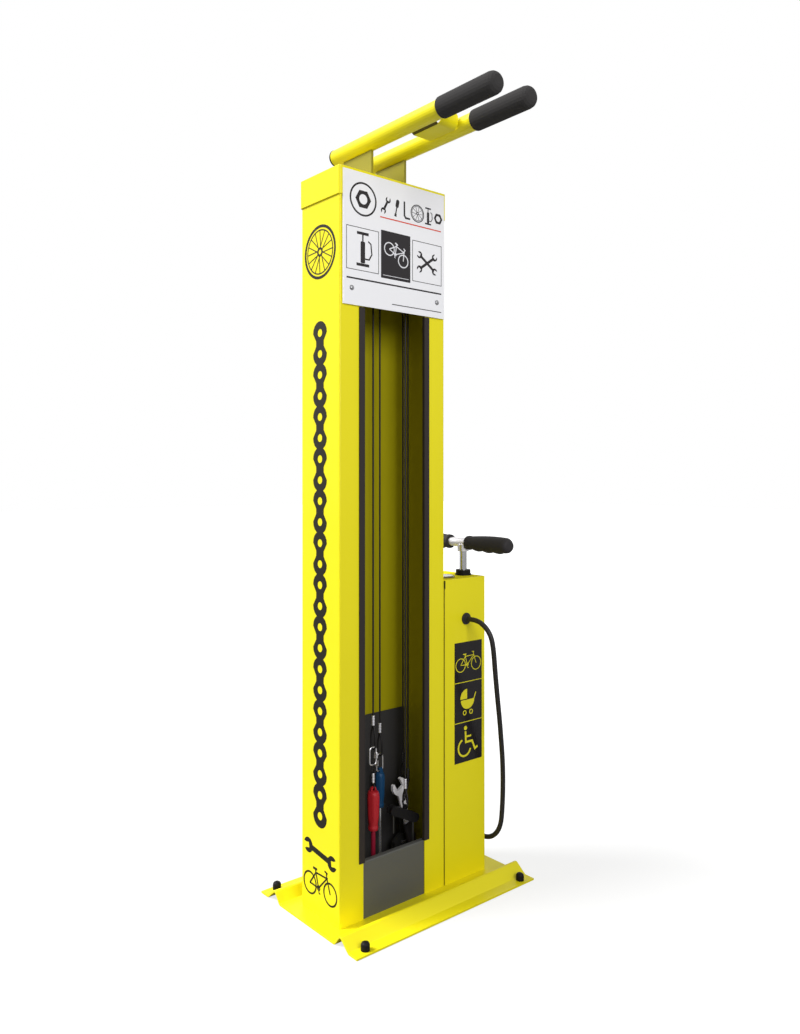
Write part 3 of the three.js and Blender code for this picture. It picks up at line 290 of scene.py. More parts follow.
class Groups:
    """The effects that several finishes share, each built once as a node group."""

    made: dict[str, bpy.types.NodeTree] = {}

    @classmethod
    def start(cls, name: str, inputs: Iterable[tuple[str, str, float]], output: str
              ) -> tuple[bpy.types.NodeTree, bpy.types.NodeOutputs, bpy.types.NodeSocket]:
        """Make an empty group with its sockets.

        Args:
            name: The group's name.
            inputs: Name, socket type and default of each input.
            output: The name of its one output, a number.

        Returns:
            The group, the sockets that feed it and the socket of its result.
        """
        tree = bpy.data.node_groups.new(name, "ShaderNodeTree")
        for label, kind, default in inputs:
            socket = tree.interface.new_socket(label, in_out="INPUT", socket_type=kind)
            if kind == "NodeSocketFloat":
                socket.default_value = default
        tree.interface.new_socket(output, in_out="OUTPUT", socket_type="NodeSocketFloat")
        cls.made[name] = tree
        return tree, tree.nodes.new("NodeGroupInput").outputs, tree.nodes.new("NodeGroupOutput").inputs[output]

    @classmethod
    def drift(cls) -> bpy.types.NodeTree:
        """Build the slow wander of a colour's tone.

        Returns:
            A group from a vector, a scale and a depth to a factor about 1.
        """
        if "drift" in cls.made:
            return cls.made["drift"]
        tree, fed, result = cls.start("drift", [
            ("Vector", "NodeSocketVector", 0), ("Scale", "NodeSocketFloat", 8), ("Depth", "NodeSocketFloat", 0.05),
        ], "Factor")
        noise = wired(tree, "TexNoise", {"Vector": fed["Vector"], "Scale": fed["Scale"], "Detail": 3})
        shift = wired(tree, "Math", {0: noise.outputs["Fac"], 1: 0.5}, operation="SUBTRACT")
        span = wired(tree, "Math", {0: shift.outputs[0], 1: fed["Depth"], 2: 1}, operation="MULTIPLY_ADD")
        tree.links.new(span.outputs[0], result)
        return tree

    @classmethod
    def skin(cls) -> bpy.types.NodeTree:
        """Build the fine relief of a coat or a moulded skin.

        Returns:
            A group from a vector and a scale to a height.
        """
        if "skin" in cls.made:
            return cls.made["skin"]
        tree, fed, result = cls.start("skin", [
            ("Vector", "NodeSocketVector", 0), ("Scale", "NodeSocketFloat", 600),
        ], "Height")
        noise = wired(tree, "TexNoise", {"Vector": fed["Vector"], "Scale": fed["Scale"], "Detail": 2,
                                         "Roughness": 0.45})
        tree.links.new(noise.outputs["Fac"], result)
        return tree

    @classmethod
    def within(cls) -> bpy.types.NodeTree:
        """Build the mask of what lies inside a box.

        Returns:
            A group from a vector and a box's corners to a mask.
        """
        if "within" in cls.made:
            return cls.made["within"]
        tree, fed, result = cls.start("within", [
            ("Vector", "NodeSocketVector", 0), ("Low", "NodeSocketVector", 0), ("High", "NodeSocketVector", 0),
        ], "Mask")
        depths = []
        for first, second in (("Vector", "Low"), ("High", "Vector")):
            reach = wired(tree, "VectorMath", {0: fed[first], 1: fed[second]}, operation="SUBTRACT")
            depths += list(wired(tree, "SeparateXYZ", {0: reach.outputs[0]}).outputs)
        least = depths[0]
        for depth in depths[1:]:
            least = wired(tree, "Math", {0: least, 1: depth}, operation="MINIMUM").outputs[0]
        mask = wired(tree, "Math", {0: least, 1: 0}, operation="GREATER_THAN")
        tree.links.new(mask.outputs[0], result)
        return tree

    @classmethod
    def cells(cls) -> bpy.types.NodeTree:
        """Build the open cells of a foam's skin.

        Returns:
            A group from a vector and a scale to a height.
        """
        if "cells" in cls.made:
            return cls.made["cells"]
        tree, fed, result = cls.start("cells", [
            ("Vector", "NodeSocketVector", 0), ("Scale", "NodeSocketFloat", 900),
        ], "Height")
        cell = wired(tree, "TexVoronoi", {"Vector": fed["Vector"], "Scale": fed["Scale"]}, feature="F1")
        tree.links.new(cell.outputs["Distance"], result)
        return tree


class Relief(Enum):
    """How a finish is rough to the touch."""

    PEEL = "the soft peel of a powder coat"
    MOULDED = "the fine grain of a moulded skin"
    BRUSHED = "lines along one direction"
    FOAM = "open cells"
    TWIST = "strands that wind round a cable"


@dataclass(frozen=True)
class Finish:
    """One finish of the station, made into a material when it is first used."""

    name: str
    colour: Colour
    roughness: float
    relief: Relief = Relief.MOULDED
    metallic: float = 0.0
    depth: float = 0.00002
    scale: float = 1500.0
    drift: float = 0.05
    drift_scale: float = 9.0
    coat: float = 0.0
    clear: float = 0.0
    gloss: float = 0.5
    grain: Place = (1.0, 1.0, 1.0)
    # inner and inside: a darker colour painted as shade on the faces that lie within a box
    inner: Colour = (0.0, 0.0, 0.0)
    inside: tuple[Place, Place] | None = None

    def material(self) -> bpy.types.Material:
        """Return this finish's material, building it on the first call.

        Returns:
            The material.
        """
        found = bpy.data.materials.get(self.name)
        if found:
            return found
        material = bpy.data.materials.new(self.name)
        material.use_nodes = True
        tree = material.node_tree
        shader = tree.nodes["Principled BSDF"]
        where = wired(tree, "TexCoord", {}).outputs["Object"]
        mapping = wired(tree, "Mapping", {"Vector": where, "Scale": self.grain})
        self._tone(tree, shader, where)
        bump = wired(tree, "Bump", {"Height": self._height(tree, mapping.outputs["Vector"]),
                                    "Distance": self.depth, "Strength": 1.0})
        tree.links.new(bump.outputs["Normal"], shader.inputs["Normal"])
        for label, value in (("Metallic", self.metallic), ("Specular IOR Level", self.gloss),
                             ("Coat Weight", self.coat), ("Coat Roughness", COAT_ROUGHNESS),
                             ("Transmission Weight", self.clear)):
            shader.inputs[label].default_value = value
        return material

    def _tone(self, tree: bpy.types.NodeTree, shader: bpy.types.Node, vector: bpy.types.NodeSocket) -> None:
        """Let the colour and the roughness wander a little over the surface.

        Args:
            tree: The material's nodes.
            shader: The Principled BSDF.
            vector: The coordinates to read.
        """
        drift = wired(tree, "Group", {"Vector": vector, "Scale": self.drift_scale, "Depth": self.drift},
                      node_tree=Groups.drift()).outputs["Factor"]
        # Within the box the base colour turns darker: painted shade.
        base = self._painted_shade_inside(tree, vector) if self.inside else linear(self.colour)
        colour = wired(tree, "Mix", {0: 1.0, 6: base, 7: drift}, data_type="RGBA", blend_type="MULTIPLY")
        tree.links.new(colour.outputs[2], shader.inputs["Base Color"])
        rough = wired(tree, "Math", {0: drift, 1: self.roughness}, operation="MULTIPLY", use_clamp=True)
        tree.links.new(rough.outputs[0], shader.inputs["Roughness"])

    def _painted_shade_inside(self, tree: bpy.types.NodeTree, vector: bpy.types.NodeSocket) -> bpy.types.NodeSocket:
        """Paint shade on the faces inside a box by mixing in a darker colour there.

        Args:
            tree: The material's nodes.
            vector: The coordinates to read.

        Returns:
            The socket that gives the colour.
        """
        low, high = self.inside
        within = wired(tree, "Group", {"Vector": vector, "Low": low, "High": high}, node_tree=Groups.within())
        both = wired(tree, "Mix", {0: within.outputs["Mask"], 6: linear(self.colour), 7: linear(self.inner)},
                     data_type="RGBA")
        return both.outputs[2]

    def _height(self, tree: bpy.types.NodeTree, vector: bpy.types.NodeSocket) -> bpy.types.NodeSocket:
        """Build the relief's height.

        Args:
            tree: The material's nodes.
            vector: The coordinates to read.

        Returns:
            The socket that gives the height.
        """
        if self.relief is Relief.TWIST:
            wave = wired(tree, "TexWave", {"Vector": vector, "Scale": self.scale, "Distortion": 0.4},
                         bands_direction="DIAGONAL")
            return wave.outputs["Fac"]
        group = Groups.cells() if self.relief is Relief.FOAM else Groups.skin()
        return wired(tree, "Group", {"Vector": vector, "Scale": self.scale}, node_tree=group).outputs["Height"]


YELLOW = Finish("yellow_powder_coat", (0.94, 0.89, 0.09), 0.4, Relief.PEEL, depth=0.00003, scale=420,
                drift=0.04, drift_scale=5, coat=0.04, gloss=0.3)
# The casing's walls inside the slot take a darker yellow: painted shade.
CASING_YELLOW_SHADED_INSIDE = replace(YELLOW, name="casing_coat_painted_shade", inner=(0.67, 0.63, 0.055),
                        inside=((-0.2018, -0.0628, 0.0), (0.0658, 0.0628, 1.46)))
# The uprights take a darker copy of the yellow: painted shade from the tubes above them.
UPRIGHT_YELLOW_SHADED = replace(YELLOW, name="upright_coat_painted_shade", colour=(0.58, 0.55, 0.13))
COVER_YELLOW = replace(YELLOW, name="cover_powder_coat", roughness=0.8, coat=0.0, gloss=0.08)
TRIM_RUBBER = Finish("trim_rubber", (0.17, 0.145, 0.135), 0.6, depth=0.00003, scale=1800, gloss=0.25)
GRIP_RUBBER = Finish("grip_rubber", (0.17, 0.16, 0.165), 0.65, depth=0.00006, scale=1400, gloss=0.25)
HOSE_RUBBER = Finish("hose_rubber", (0.15, 0.14, 0.145), 0.5, depth=0.00003, scale=1600, gloss=0.3)
FOAM = Finish("grip_foam", (0.215, 0.21, 0.21), 0.95, Relief.FOAM, depth=0.00018, scale=950, drift=0.12, gloss=0.2)
BLACK_PLASTIC = Finish("black_moulding", (0.085, 0.08, 0.085), 0.5, depth=0.00002, scale=2200, gloss=0.12)
GREY_COAT = Finish("grey_coat", (0.35, 0.35, 0.335), 0.45, Relief.PEEL, depth=0.00003, scale=500, gloss=0.35)
LINING = Finish("lining_board", (0.215, 0.21, 0.21), 0.65, depth=0.00004, scale=900, gloss=0.3)
SIGN_WHITE = Finish("sign_white", (0.96, 0.96, 0.975), 0.32, depth=0.00001, scale=900, drift=0.02, coat=0.1)
INK_DARK = Finish("ink_dark", (0.12, 0.105, 0.115), 0.5, depth=0.00001, scale=1200, gloss=0.3)
INK_RED = Finish("ink_red", (0.84, 0.25, 0.14), 0.45, depth=0.00001, scale=1200, gloss=0.35)
INK_WHITE = Finish("ink_white", (0.9, 0.9, 0.92), 0.4, depth=0.00001, scale=1200)
FILM_BLACK = Finish("film_black", (0.09, 0.075, 0.085), 0.25, depth=0.00001, scale=900, coat=0.1, gloss=0.4)
FILM_MARK = Finish("film_mark", (0.09, 0.08, 0.035), 0.5, depth=0.00001, scale=900, gloss=0.3)
FILM_YELLOW = Finish("film_yellow", (0.9, 0.86, 0.14), 0.4, depth=0.00001, scale=900, gloss=0.4)
SATIN_STEEL = Finish("satin_steel", (0.9, 0.89, 0.9), 0.27, Relief.BRUSHED, metallic=0.85, depth=0.00001,
                     scale=500, grain=(1.0, 1.0, 0.06))
CAST_STEEL = Finish("cast_steel", (0.97, 0.96, 0.97), 0.4, Relief.BRUSHED, metallic=0.15, depth=0.00003, scale=1300)
DARK_STEEL = Finish("dark_steel", (0.22, 0.22, 0.21), 0.4, Relief.BRUSHED, metallic=0.5, depth=0.00003, scale=1300)
GAUGE_RIM = Finish("gauge_rim", (0.42, 0.39, 0.26), 0.35, Relief.BRUSHED, metallic=0.5, depth=0.00001, scale=900)
POLISHED_ROD = Finish("polished_rod", (0.9, 0.9, 0.91), 0.12, Relief.BRUSHED, metallic=1, depth=0.000004,
                      scale=700, grain=(1.0, 1.0, 0.04))
ZINC = Finish("zinc_sheet", (0.62, 0.62, 0.63), 0.38, Relief.BRUSHED, metallic=1, depth=0.00002, scale=260)
CRIMP = Finish("crimp_alloy", (0.88, 0.87, 0.89), 0.32, Relief.BRUSHED, metallic=0.5, depth=0.00003, scale=900)
BLACK_CRIMP = Finish("black_crimp", (0.13, 0.125, 0.13), 0.4, Relief.BRUSHED, depth=0.00003, scale=900, gloss=0.4)
SHEATH = Finish("cable_sheath", (0.09, 0.08, 0.085), 0.45, Relief.TWIST, depth=0.00022, scale=190, gloss=0.35)
RED_PLASTIC = Finish("red_moulding", (0.7, 0.13, 0.17), 0.32, depth=0.00002, scale=1800, gloss=0.3)
BLUE_PLASTIC = Finish("blue_moulding", (0.1, 0.27, 0.42), 0.32, depth=0.00002, scale=1800, gloss=0.3)
RED_SLEEVE = Finish("red_sleeve", (0.58, 0.1, 0.2), 0.42, depth=0.00002, scale=1500, gloss=0.3)
# A dark olive used as painted shade: on the tray's edge under the left arm and in the seam between column and pump
# box.
SHADE_OLIVE = Finish("painted_shade_olive", (0.36, 0.33, 0.07), 0.6, depth=0.00002, scale=1400, gloss=0.2)
DIAL = Finish("dial_card", (0.85, 0.85, 0.72), 0.6, depth=0.00001, scale=1500, drift=0.02)
NEEDLE_RED = Finish("needle_red", (0.78, 0.08, 0.06), 0.35, depth=0.00001, scale=1500)
LENS = Finish("lens_clear", (0.97, 0.98, 0.98), 0.02, depth=0.000002, scale=60, drift=0.0, clear=1.0)


def dressed(piece: bpy.types.Object, finish: Finish) -> bpy.types.Object:
    """Give a piece one finish.

    Args:
        piece: The object.
        finish: Its finish.

    Returns:
        The same object.
    """
    piece.data.materials.clear()
    piece.data.materials.append(finish.material())
    return piece


def fitted(piece: bpy.types.Object, name: str, body: str, finish: Finish) -> bpy.types.Object:
    """Name a new piece, dress it and let it ride on its body.

    Args:
        piece: The new object, settled.
        name: Its name.
        body: The body it moves with.
        finish: Its finish.

    Returns:
        The same object.
    """
    piece.name = name
    piece.data.name = name
    dressed(piece, finish)
    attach(piece, body)
    LOG.info("piece %s on %s", name, body)
    return piece


class Face(Enum):
    """A face that carries marks: how its right, up and outward directions lie."""

    FRONT = ((1, 0, 0), (0, 0, 1), (0, -1, 0))
    LEFT = ((0, -1, 0), (0, 0, 1), (-1, 0, 0))
    TOP = ((1, 0, 0), (0, 1, 0), (0, 0, 1))

    def matrix(self, at: Place) -> Matrix:
        """Return the matrix from a drawing's plane to this face.

        Args:
            at: Where the drawing's own origin goes.

        Returns:
            The placing matrix.
        """
        columns = [Vector(v) for v in self.value]
        turn = Matrix([[columns[c][r] for c in range(3)] for r in range(3)]).to_4x4()
        return Matrix.Translation(at) @ turn


@dataclass
class Drawing:
    """Flat marks cut from film or printed on a plate, drawn in millimetres in their own plane."""

    thickness: float = 0.0003
    step: float = 0.00001
    shapes: list[bpy.types.Object] = field(default_factory=list)

    def fill(self, *loops: Sequence[Point]) -> None:
        """Add an area with holes.

        Args:
            *loops: The outline, and the outline of each hole, in millimetres.
        """
        curve = bpy.data.curves.new("outline", "CURVE")
        curve.dimensions = "2D"
        curve.fill_mode = "BOTH"
        for loop in loops:
            spline = curve.splines.new("POLY")
            spline.points.add(len(loop) - 1)
            for dot, (x, y) in zip(spline.points, loop):
                dot.co = (x / 1000, y / 1000, 0, 1)
            spline.use_cyclic_u = True
        thick = self.thickness + self.step * len(self.shapes)
        curve.extrude = thick / 2
        shape = bpy.data.objects.new("outline", curve)
        bpy.context.collection.objects.link(shape)
        pick([shape])
        bpy.ops.object.convert(target="MESH")
        self.shapes.append(moved(shape, Matrix.Translation((0, 0, thick / 2))))

    def line(self, points: Sequence[Point], width: float, closed: bool = False) -> None:
        """Add a stroke of even width.

        Args:
            points: The stroke's middle line, in millimetres.
            width: Its width in millimetres.
            closed: Whether the last point joins the first.
        """
        path = [Vector(p) for p in points]
        sides: list[list[Point]] = [[], []]
        count = len(path)
        for i, here in enumerate(path):
            before = path[i - 1] if closed or i else here
            after = path[(i + 1) % count] if closed or i < count - 1 else here
            back = (here - before).normalized() if before != here else (after - here).normalized()
            ahead = (after - here).normalized() if after != here else back
            along = (back + ahead).normalized()
            reach = width / 2 / max(along.dot(ahead), 0.4)
            out = Vector((-along.y, along.x)) * reach
            sides[0].append(tuple(here + out))
            sides[1].append(tuple(here - out))
        if closed:
            self.fill(sides[0], sides[1])
        else:
            self.fill(sides[0] + sides[1][::-1])

    def ring(self, centre: Point, radius: float, width: float, steps: int = 40) -> None:
        """Add a whole ring.

        Args:
            centre: Its centre, in millimetres.
            radius: The radius of its middle line.
            width: Its width.
            steps: The number of its segments.
        """
        self.fill(circle(centre, radius + width / 2, steps), circle(centre, radius - width / 2, steps))

    def dot(self, centre: Point, radius: float, steps: int = 28) -> None:
        """Add a filled circle.

        Args:
            centre: Its centre, in millimetres.
            radius: Its radius.
            steps: The number of its segments.
        """
        self.fill(circle(centre, radius, steps))

    def built(self, name: str, face: Face, at: Place, body: str, slot: str, finish: Finish) -> bpy.types.Object:
        """Join the shapes and lay them on a face.

        Args:
            name: The piece's name.
            face: The face they lie on.
            at: Where the drawing's origin goes.
            body: The body the piece moves with.
            slot: Not used.
            finish: Its finish.

        Returns:
            The finished piece.
        """
        piece = merged(self.shapes)
        moved(piece, face.matrix(at))
        return fitted(recalculated(piece), name, body, finish)


def circle(centre: Point, radius: float, steps: int = 32) -> list[Point]:
    """Return a circle's points, anticlockwise.

    Args:
        centre: Its centre.
        radius: Its radius.
        steps: The number of points.

    Returns:
        The points.
    """
    turns = [2 * math.pi * k / steps for k in range(steps)]
    return [(centre[0] + radius * math.cos(a), centre[1] + radius * math.sin(a)) for a in turns]


def arc(centre: Point, radius: float, start: float, end: float, step: float) -> list[Point]:
    """Return the points of an arc.

    Args:
        centre: Its centre.
        radius: Its radius.
        start: The angle of its first point, in degrees.
        end: The angle of its last point, in degrees.
        step: The angle between two points, in degrees.

    Returns:
        The points.
    """
    turns = [math.radians(start + step * k) for k in range(round((end - start) / step) + 1)]
    return [(centre[0] + radius * math.cos(a), centre[1] + radius * math.sin(a)) for a in turns]


def rectangle(left: float, low: float, right: float, high: float) -> list[Point]:
    """Return the four corners of a rectangle, anticlockwise."""
    return [(left, low), (right, low), (right, high), (left, high)]


def rounded(left: float, low: float, right: float, high: float, radius: float) -> list[Point]:
    """Return a rectangle's points with rounded corners.

    Args:
        left: Its left edge.
        low: Its lower edge.
        right: Its right edge.
        high: Its upper edge.
        radius: The corners' radius.

    Returns:
        The points.
    """
    corners = [(right - radius, low + radius, -90), (right - radius, high - radius, 0),
               (left + radius, high - radius, 90), (left + radius, low + radius, 180)]
    return [point for x, y, start in corners for point in arc((x, y), radius, start, start + 90, 22.5)]


def turned_by(points: Sequence[Point], degrees: float, shift: Point) -> list[Point]:
    """Turn points about the origin of their plane, then move them.

    Args:
        points: The points.
        degrees: The turn, anticlockwise.
        shift: How far they move afterwards.

    Returns:
        The new points.
    """
    c, s = math.cos(math.radians(degrees)), math.sin(math.radians(degrees))
    return [(c * x - s * y + shift[0], s * x + c * y + shift[1]) for x, y in points]


@dataclass(frozen=True)
class Pictograms:
    """Plain pictograms of this station's own design, drawn about a centre."""

    drawing: Drawing
    scale: float = 1.0
    tilt: float = 0.0
    centre: Point = (0.0, 0.0)

    def _at(self, points: Sequence[Point]) -> list[Point]:
        """Bring points of a pictogram to its place, size and tilt."""
        sized = [(x * self.scale, y * self.scale) for x, y in points]
        return turned_by(sized, self.tilt, self.centre)

    def _line(self, points: Sequence[Point], width: float, closed: bool = False) -> None:
        """Draw a stroke of a pictogram."""
        self.drawing.line(self._at(points), width * self.scale, closed)

    def _ring(self, centre: Point, radius: float, width: float) -> None:
        """Draw a ring of a pictogram."""
        self.drawing.ring(self._at([centre])[0], radius * self.scale, width * self.scale)

    def bicycle(self, weight: float = 1.0) -> None:
        """Draw a bicycle about 116 wide, the middles of its wheels 35 to either side.

        Args:
            weight: A factor on the strokes' width.
        """
        wheel, tube = 3.2 * weight, 3.0 * weight
        rear, front, crank, seat, head = (-35, 0), (35, 0), (-5, -1), (-14, 27), (24, 28)
        self._ring(rear, 21.5, wheel)
        self._ring(front, 21.5, wheel)
        self._line([rear, seat, head, crank, rear], tube)
        self._line([(-16, 33), crank], tube)
        self._line([(22, 35), head, front], tube)
        self._line([(-24, 34), (-10, 34)], 4 * weight)
        self._line([(16, 40), (24, 38), (22, 34)], tube)
        self._ring(crank, 4.5, 2 * weight)
        self._line([(-5, -1), (-3, -11), (1, -11)], 2 * weight)

    def spanner(self, length: float = 100, tilt: float = 0, weight: float = 1.0) -> None:
        """Draw a spanner with an open jaw at each end.

        Args:
            length: Its length between the jaws' centres.
            tilt: How each jaw is turned, in degrees.
            weight: A factor on the bar's width and the jaws' size.
        """
        half, radius = length / 2, 12 * weight
        self._line([(-half + 8, 0), (half - 8, 0)], 9 * weight)
        for side, turn in ((-1, 180 + tilt), (1, tilt)):
            jaw = arc((0, 0), radius, 30, 330, 15)
            mouth = [(6 * weight, -6), (-3, -6), (-3, 6), (6 * weight, 6)]
            points = turned_by(jaw + mouth, turn, (side * half, 0))
            self.drawing.fill(self._at(points))

    def pram(self) -> None:
        """Draw a pram with its hood up, about 58 wide."""
        self.drawing.fill(self._at(arc((0, 0), 25, 180, 360, 12)))
        hood = [(25 * math.cos(math.radians(a)), 3 + 26 * math.sin(math.radians(a))) for a in range(90, 181, 10)]
        self.drawing.fill(self._at([(-2, 3)] + [(x - 2, y) for x, y in hood]))
        self._line([(23, -2), (31, 16)], 3)
        self._ring((-11, -34), 5.5, 2.4)
        self._ring((13, -34), 5.5, 2.4)

    def wheelchair(self) -> None:
        """Draw a seated person in a wheelchair, about 67 high."""
        self.drawing.dot(self._at([(-9, 31)])[0], 4.6 * self.scale)
        self._line(arc((-12, -11), 18.5, 112, 346, 9), 4.2)
        self._line([(-9, 24), (-8, 0), (11, 0), (20, -19), (28, -15)], 4.6)
        self._line([(-8, 12), (8, 12)], 4)

    def wheel(self, radius: float = 50, spokes: int = 16) -> None:
        """Draw a spoked wheel.

        Args:
            radius: The tyre's radius.
            spokes: The number of its spokes.
        """
        self._ring((0, 0), radius, 5.5)
        self._ring((0, 0), radius - 7.5, 2.4)
        self._ring((0, 0), 7, 4.5)
        for k in range(spokes):
            a = 2 * math.pi * k / spokes
            lead = a + (0.28 if k % 2 else -0.28)
            inner = (8 * math.cos(lead), 8 * math.sin(lead))
            outer = ((radius - 8) * math.cos(a), (radius - 8) * math.sin(a))
            self._line([inner, outer], 1.8)

    def nut(self, size: float = 20) -> None:
        """Draw a hexagon nut.

        Args:
            size: Its corner radius.
        """
        self.drawing.fill(self._at(circle((0, 0), size, 6)), self._at(circle((0, 0), size * 0.52)))

    def chain(self, links: int, pitch: float, width: float) -> None:
        """Draw a roller chain that runs upwards from the centre.

        Args:
            links: The number of links.
            pitch: The distance between rollers.
            width: The width of an outer plate.
        """
        for k in range(links):
            low, high = pitch * k, pitch * (k + 1)
            if k % 2:
                self._line([(0, low + width * 0.46), (0, high - width * 0.46)], width * 0.4)
                continue
            waist = [(-width * 0.27, high - pitch * 0.38), (-width * 0.27, low + pitch * 0.38)]
            outline = (arc((0, high), width / 2, 0, 180, 20) + waist + arc((0, low), width / 2, 180, 360, 20)
                       + [(-x, y) for x, y in waist[::-1]])
            self.drawing.fill(self._at(outline), self._at(circle((0, high), width * 0.17)),
                              self._at(circle((0, low), width * 0.17)))

    def driver(self) -> None:
        """Draw a screwdriver, 60 high, its tip down."""
        self.drawing.fill(self._at(rounded(-7, 2, 7, 30, 6)))
        self._line([(0, 4), (0, -22)], 4.5)
        self.drawing.fill(self._at([(-4, -20), (4, -20), (5, -30), (-5, -30)]))

    def hex_key(self) -> None:
        """Draw a bent hexagon key, 60 high."""
        self._line([(-10, 30), (-10, -18), (-4, -26), (16, -26)], 6.5)

    def pump(self) -> None:
        """Draw a floor pump, 60 high."""
        self.drawing.fill(self._at(rounded(-5, -24, 5, 14, 2)))
        self._line([(0, 14), (0, 27)], 3)
        self._line([(-13, 28), (13, 28)], 5)
        self._line([(-14, -27), (14, -27)], 5)
        self._line([(4, -16), (14, -16), (20, -6), (18, 12), (12, 16)], 2.6)


@dataclass
class Carried:
    """Solids of the frame that keep their own shape."""

    nodes: dict[str, bpy.types.Object]

    def dress(self, finish: Finish, *names: str) -> None:
        """Give carried-over solids their finish.

        Args:
            finish: The finish.
            *names: The solids' names.
        """
        for name in names:
            solid = self.nodes[name]
            for slot in solid.material_slots:
                slot.material = finish.material()
            LOG.info("solid %s in %s", name, finish.name)


@dataclass
class Softened:
    """Copies of solids with small rounds on their sharp edges, which stand for the solids."""

    nodes: dict[str, bpy.types.Object]
    owner: dict[str, str]
    slots: dict[str, str]
    merge_gap: float = 2e-6
    flat_angle: float = 0.6
    shade_angle: float = 50

    def piece(self, name: str, width: float, finish: Finish, angle: float) -> bpy.types.Object:
        """Round a solid's edges in a copy that replaces it.

        Args:
            name: The solid's name.
            width: The round's width.
            finish: The copy's finish.
            angle: Edges sharper than this many degrees get a round.

        Returns:
            The copy.
        """
        solid = self.nodes[name]
        deselect()
        copy = bpy.data.objects.new(f"{name}_shell", solid.data.copy())
        bpy.context.collection.objects.link(copy)
        pick([copy])
        bpy.ops.object.mode_set(mode="EDIT")
        bpy.ops.mesh.select_all(action="SELECT")
        bpy.ops.mesh.remove_doubles(threshold=self.merge_gap)
        bpy.ops.mesh.dissolve_limited(angle_limit=math.radians(self.flat_angle))
        bpy.ops.object.mode_set(mode="OBJECT")
        modified(copy, "BEVEL", width=width, segments=2, limit_method="ANGLE",
                 angle_limit=math.radians(angle), use_clamp_overlap=True, harden_normals=False)
        smooth(copy, self.shade_angle)
        modified(copy, "WEIGHTED_NORMAL", keep_sharp=True, weight=100)
        fitted(copy, f"{name}_shell", self.owner[name], finish)
        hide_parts(name)
        return copy


@dataclass
class BasePlate:
    """The formed base plate and its anchor caps."""

    softened: Softened
    edge: float = 0.0009

    def build(self) -> None:
        """Round the edges of the plate and its caps."""
        self.softened.piece("base_plate", self.edge, YELLOW, angle=60)
        for number in range(1, 5):
            self.softened.piece(f"anchor_cap_{number}", 0.0005, BLACK_PLASTIC, angle=50)


@dataclass
class Column:
    """The casing with its lid, trims, kick panel, lining and hanger."""

    carried: Carried
    softened: Softened

    def build(self) -> None:
        """Dress the casing and round the edges that catch the light."""
        # The casing's inner walls get a darker yellow, which is painted shade.
        self.carried.dress(CASING_YELLOW_SHADED_INSIDE, "main_housing")
        self.softened.piece("top_lid", 0.0009, YELLOW, angle=60)
        self.carried.dress(TRIM_RUBBER, "slot_trim_left", "slot_trim_right")
        self.softened.piece("kick_panel", 0.0004, GREY_COAT, angle=60)
        self.carried.dress(LINING, "back_lining")
        self.carried.dress(ZINC, "cable_hanger")


@dataclass
class SignPlate:
    """The white plate over the front's top, its printing and its two screws."""

    softened: Softened
    front: float = -0.0693
    left: float = -0.1985
    foot: float = 1.1915
    drop: float = 0.0022
    top_band: float = 0.004
    screws: tuple[Point, ...] = ((0.0203, 0.032), (0.2407, 0.032))

    def build(self) -> None:
        """Lower the plate's top edge so that the lid's edge shows, then add the print and the screws."""
        plate = self.softened.piece("info_plate", 0.0007, SIGN_WHITE, angle=60)
        top = max(dot.co.z for dot in plate.data.vertices)
        for dot in plate.data.vertices:
            if dot.co.z > top - self.top_band:
                dot.co.z -= self.drop
        self._dark_print()
        self._light_print()
        self._screws()

    def _print(self, ink: Drawing, name: str, slot: str, finish: Finish) -> None:
        """Lay a drawing on the plate, from its lower left corner."""
        ink.built(name, Face.FRONT, (self.left, self.front, self.foot), "station", slot, finish)

    def _dark_print(self) -> None:
        """Print the frames, the dark panel, the dark pictograms and the red line."""
        ink = Drawing(thickness=0.00012)
        ink.line(rectangle(8, 68, 86, 150), 1.3, closed=True)
        ink.line(rectangle(174, 68, 253, 150), 1.3, closed=True)
        ink.fill(rounded(92, 62, 168, 156, 1.0))
        Pictograms(ink, 1.1, 0, (47, 109)).pump()
        Pictograms(ink, 0.6, 35, (213.5, 109)).spanner(84, 15)
        Pictograms(ink, 0.6, -35, (213.5, 109)).spanner(84, 15)
        ink.line([(8, 51), (253, 51)], 3.0)
        ink.line([(120, 13), (253, 13)], 1.6)
        ink.ring((48, 206), 31, 3.6)
        Pictograms(ink, 1.0, 0, (48, 206)).nut(19)
        Pictograms(ink, 0.52, 62, (104, 206)).spanner(50, 15)
        Pictograms(ink, 0.58, -12, (132, 206)).driver()
        Pictograms(ink, 0.58, 0, (158, 206)).hex_key()
        Pictograms(ink, 0.34, 0, (187, 206)).wheel(50, 10)
        Pictograms(ink, 0.58, 0, (216, 206)).pump()
        Pictograms(ink, 0.78, 0, (244, 206)).nut(15)
        self._print(ink, "sign_dark_print", "black_plastic", INK_DARK)
        red = Drawing(thickness=0.00012)
        red.line([(90, 181), (252, 181)], 2.4)
        self._print(red, "sign_red_print", "red_needle", INK_RED)

    def _light_print(self) -> None:
        """Print the light bicycle on the dark panel."""
        ink = Drawing(thickness=0.0004)
        Pictograms(ink, 0.58, -28, (131, 112)).bicycle(1.2)
        ink.line([(97, 68), (163, 68)], 1.0)
        self._print(ink, "sign_light_print", "white_plate", INK_WHITE)

    def _screws(self) -> None:
        """Put a domed socket screw with its washer into each hole."""
        for number, (across, up) in enumerate(self.screws, 1):
            dome = turned_profile([(0.0, -0.006), (0.0022, -0.006), (0.0022, 0.0), (0.0052, 0.0), (0.0052, 0.0006),
                                   (0.0042, 0.0006), (0.0042, 0.0011), (0.0036, 0.0021), (0.0022, 0.0028),
                                   (0.0014, 0.0029), (0.0012, 0.0014), (0.0, 0.0014)], 24)
            place = Face.FRONT.matrix((self.left + across, self.front, self.foot + up))
            moved(dome, place)
            fitted(smooth(dome), f"sign_screw_{number}", "station", ZINC)


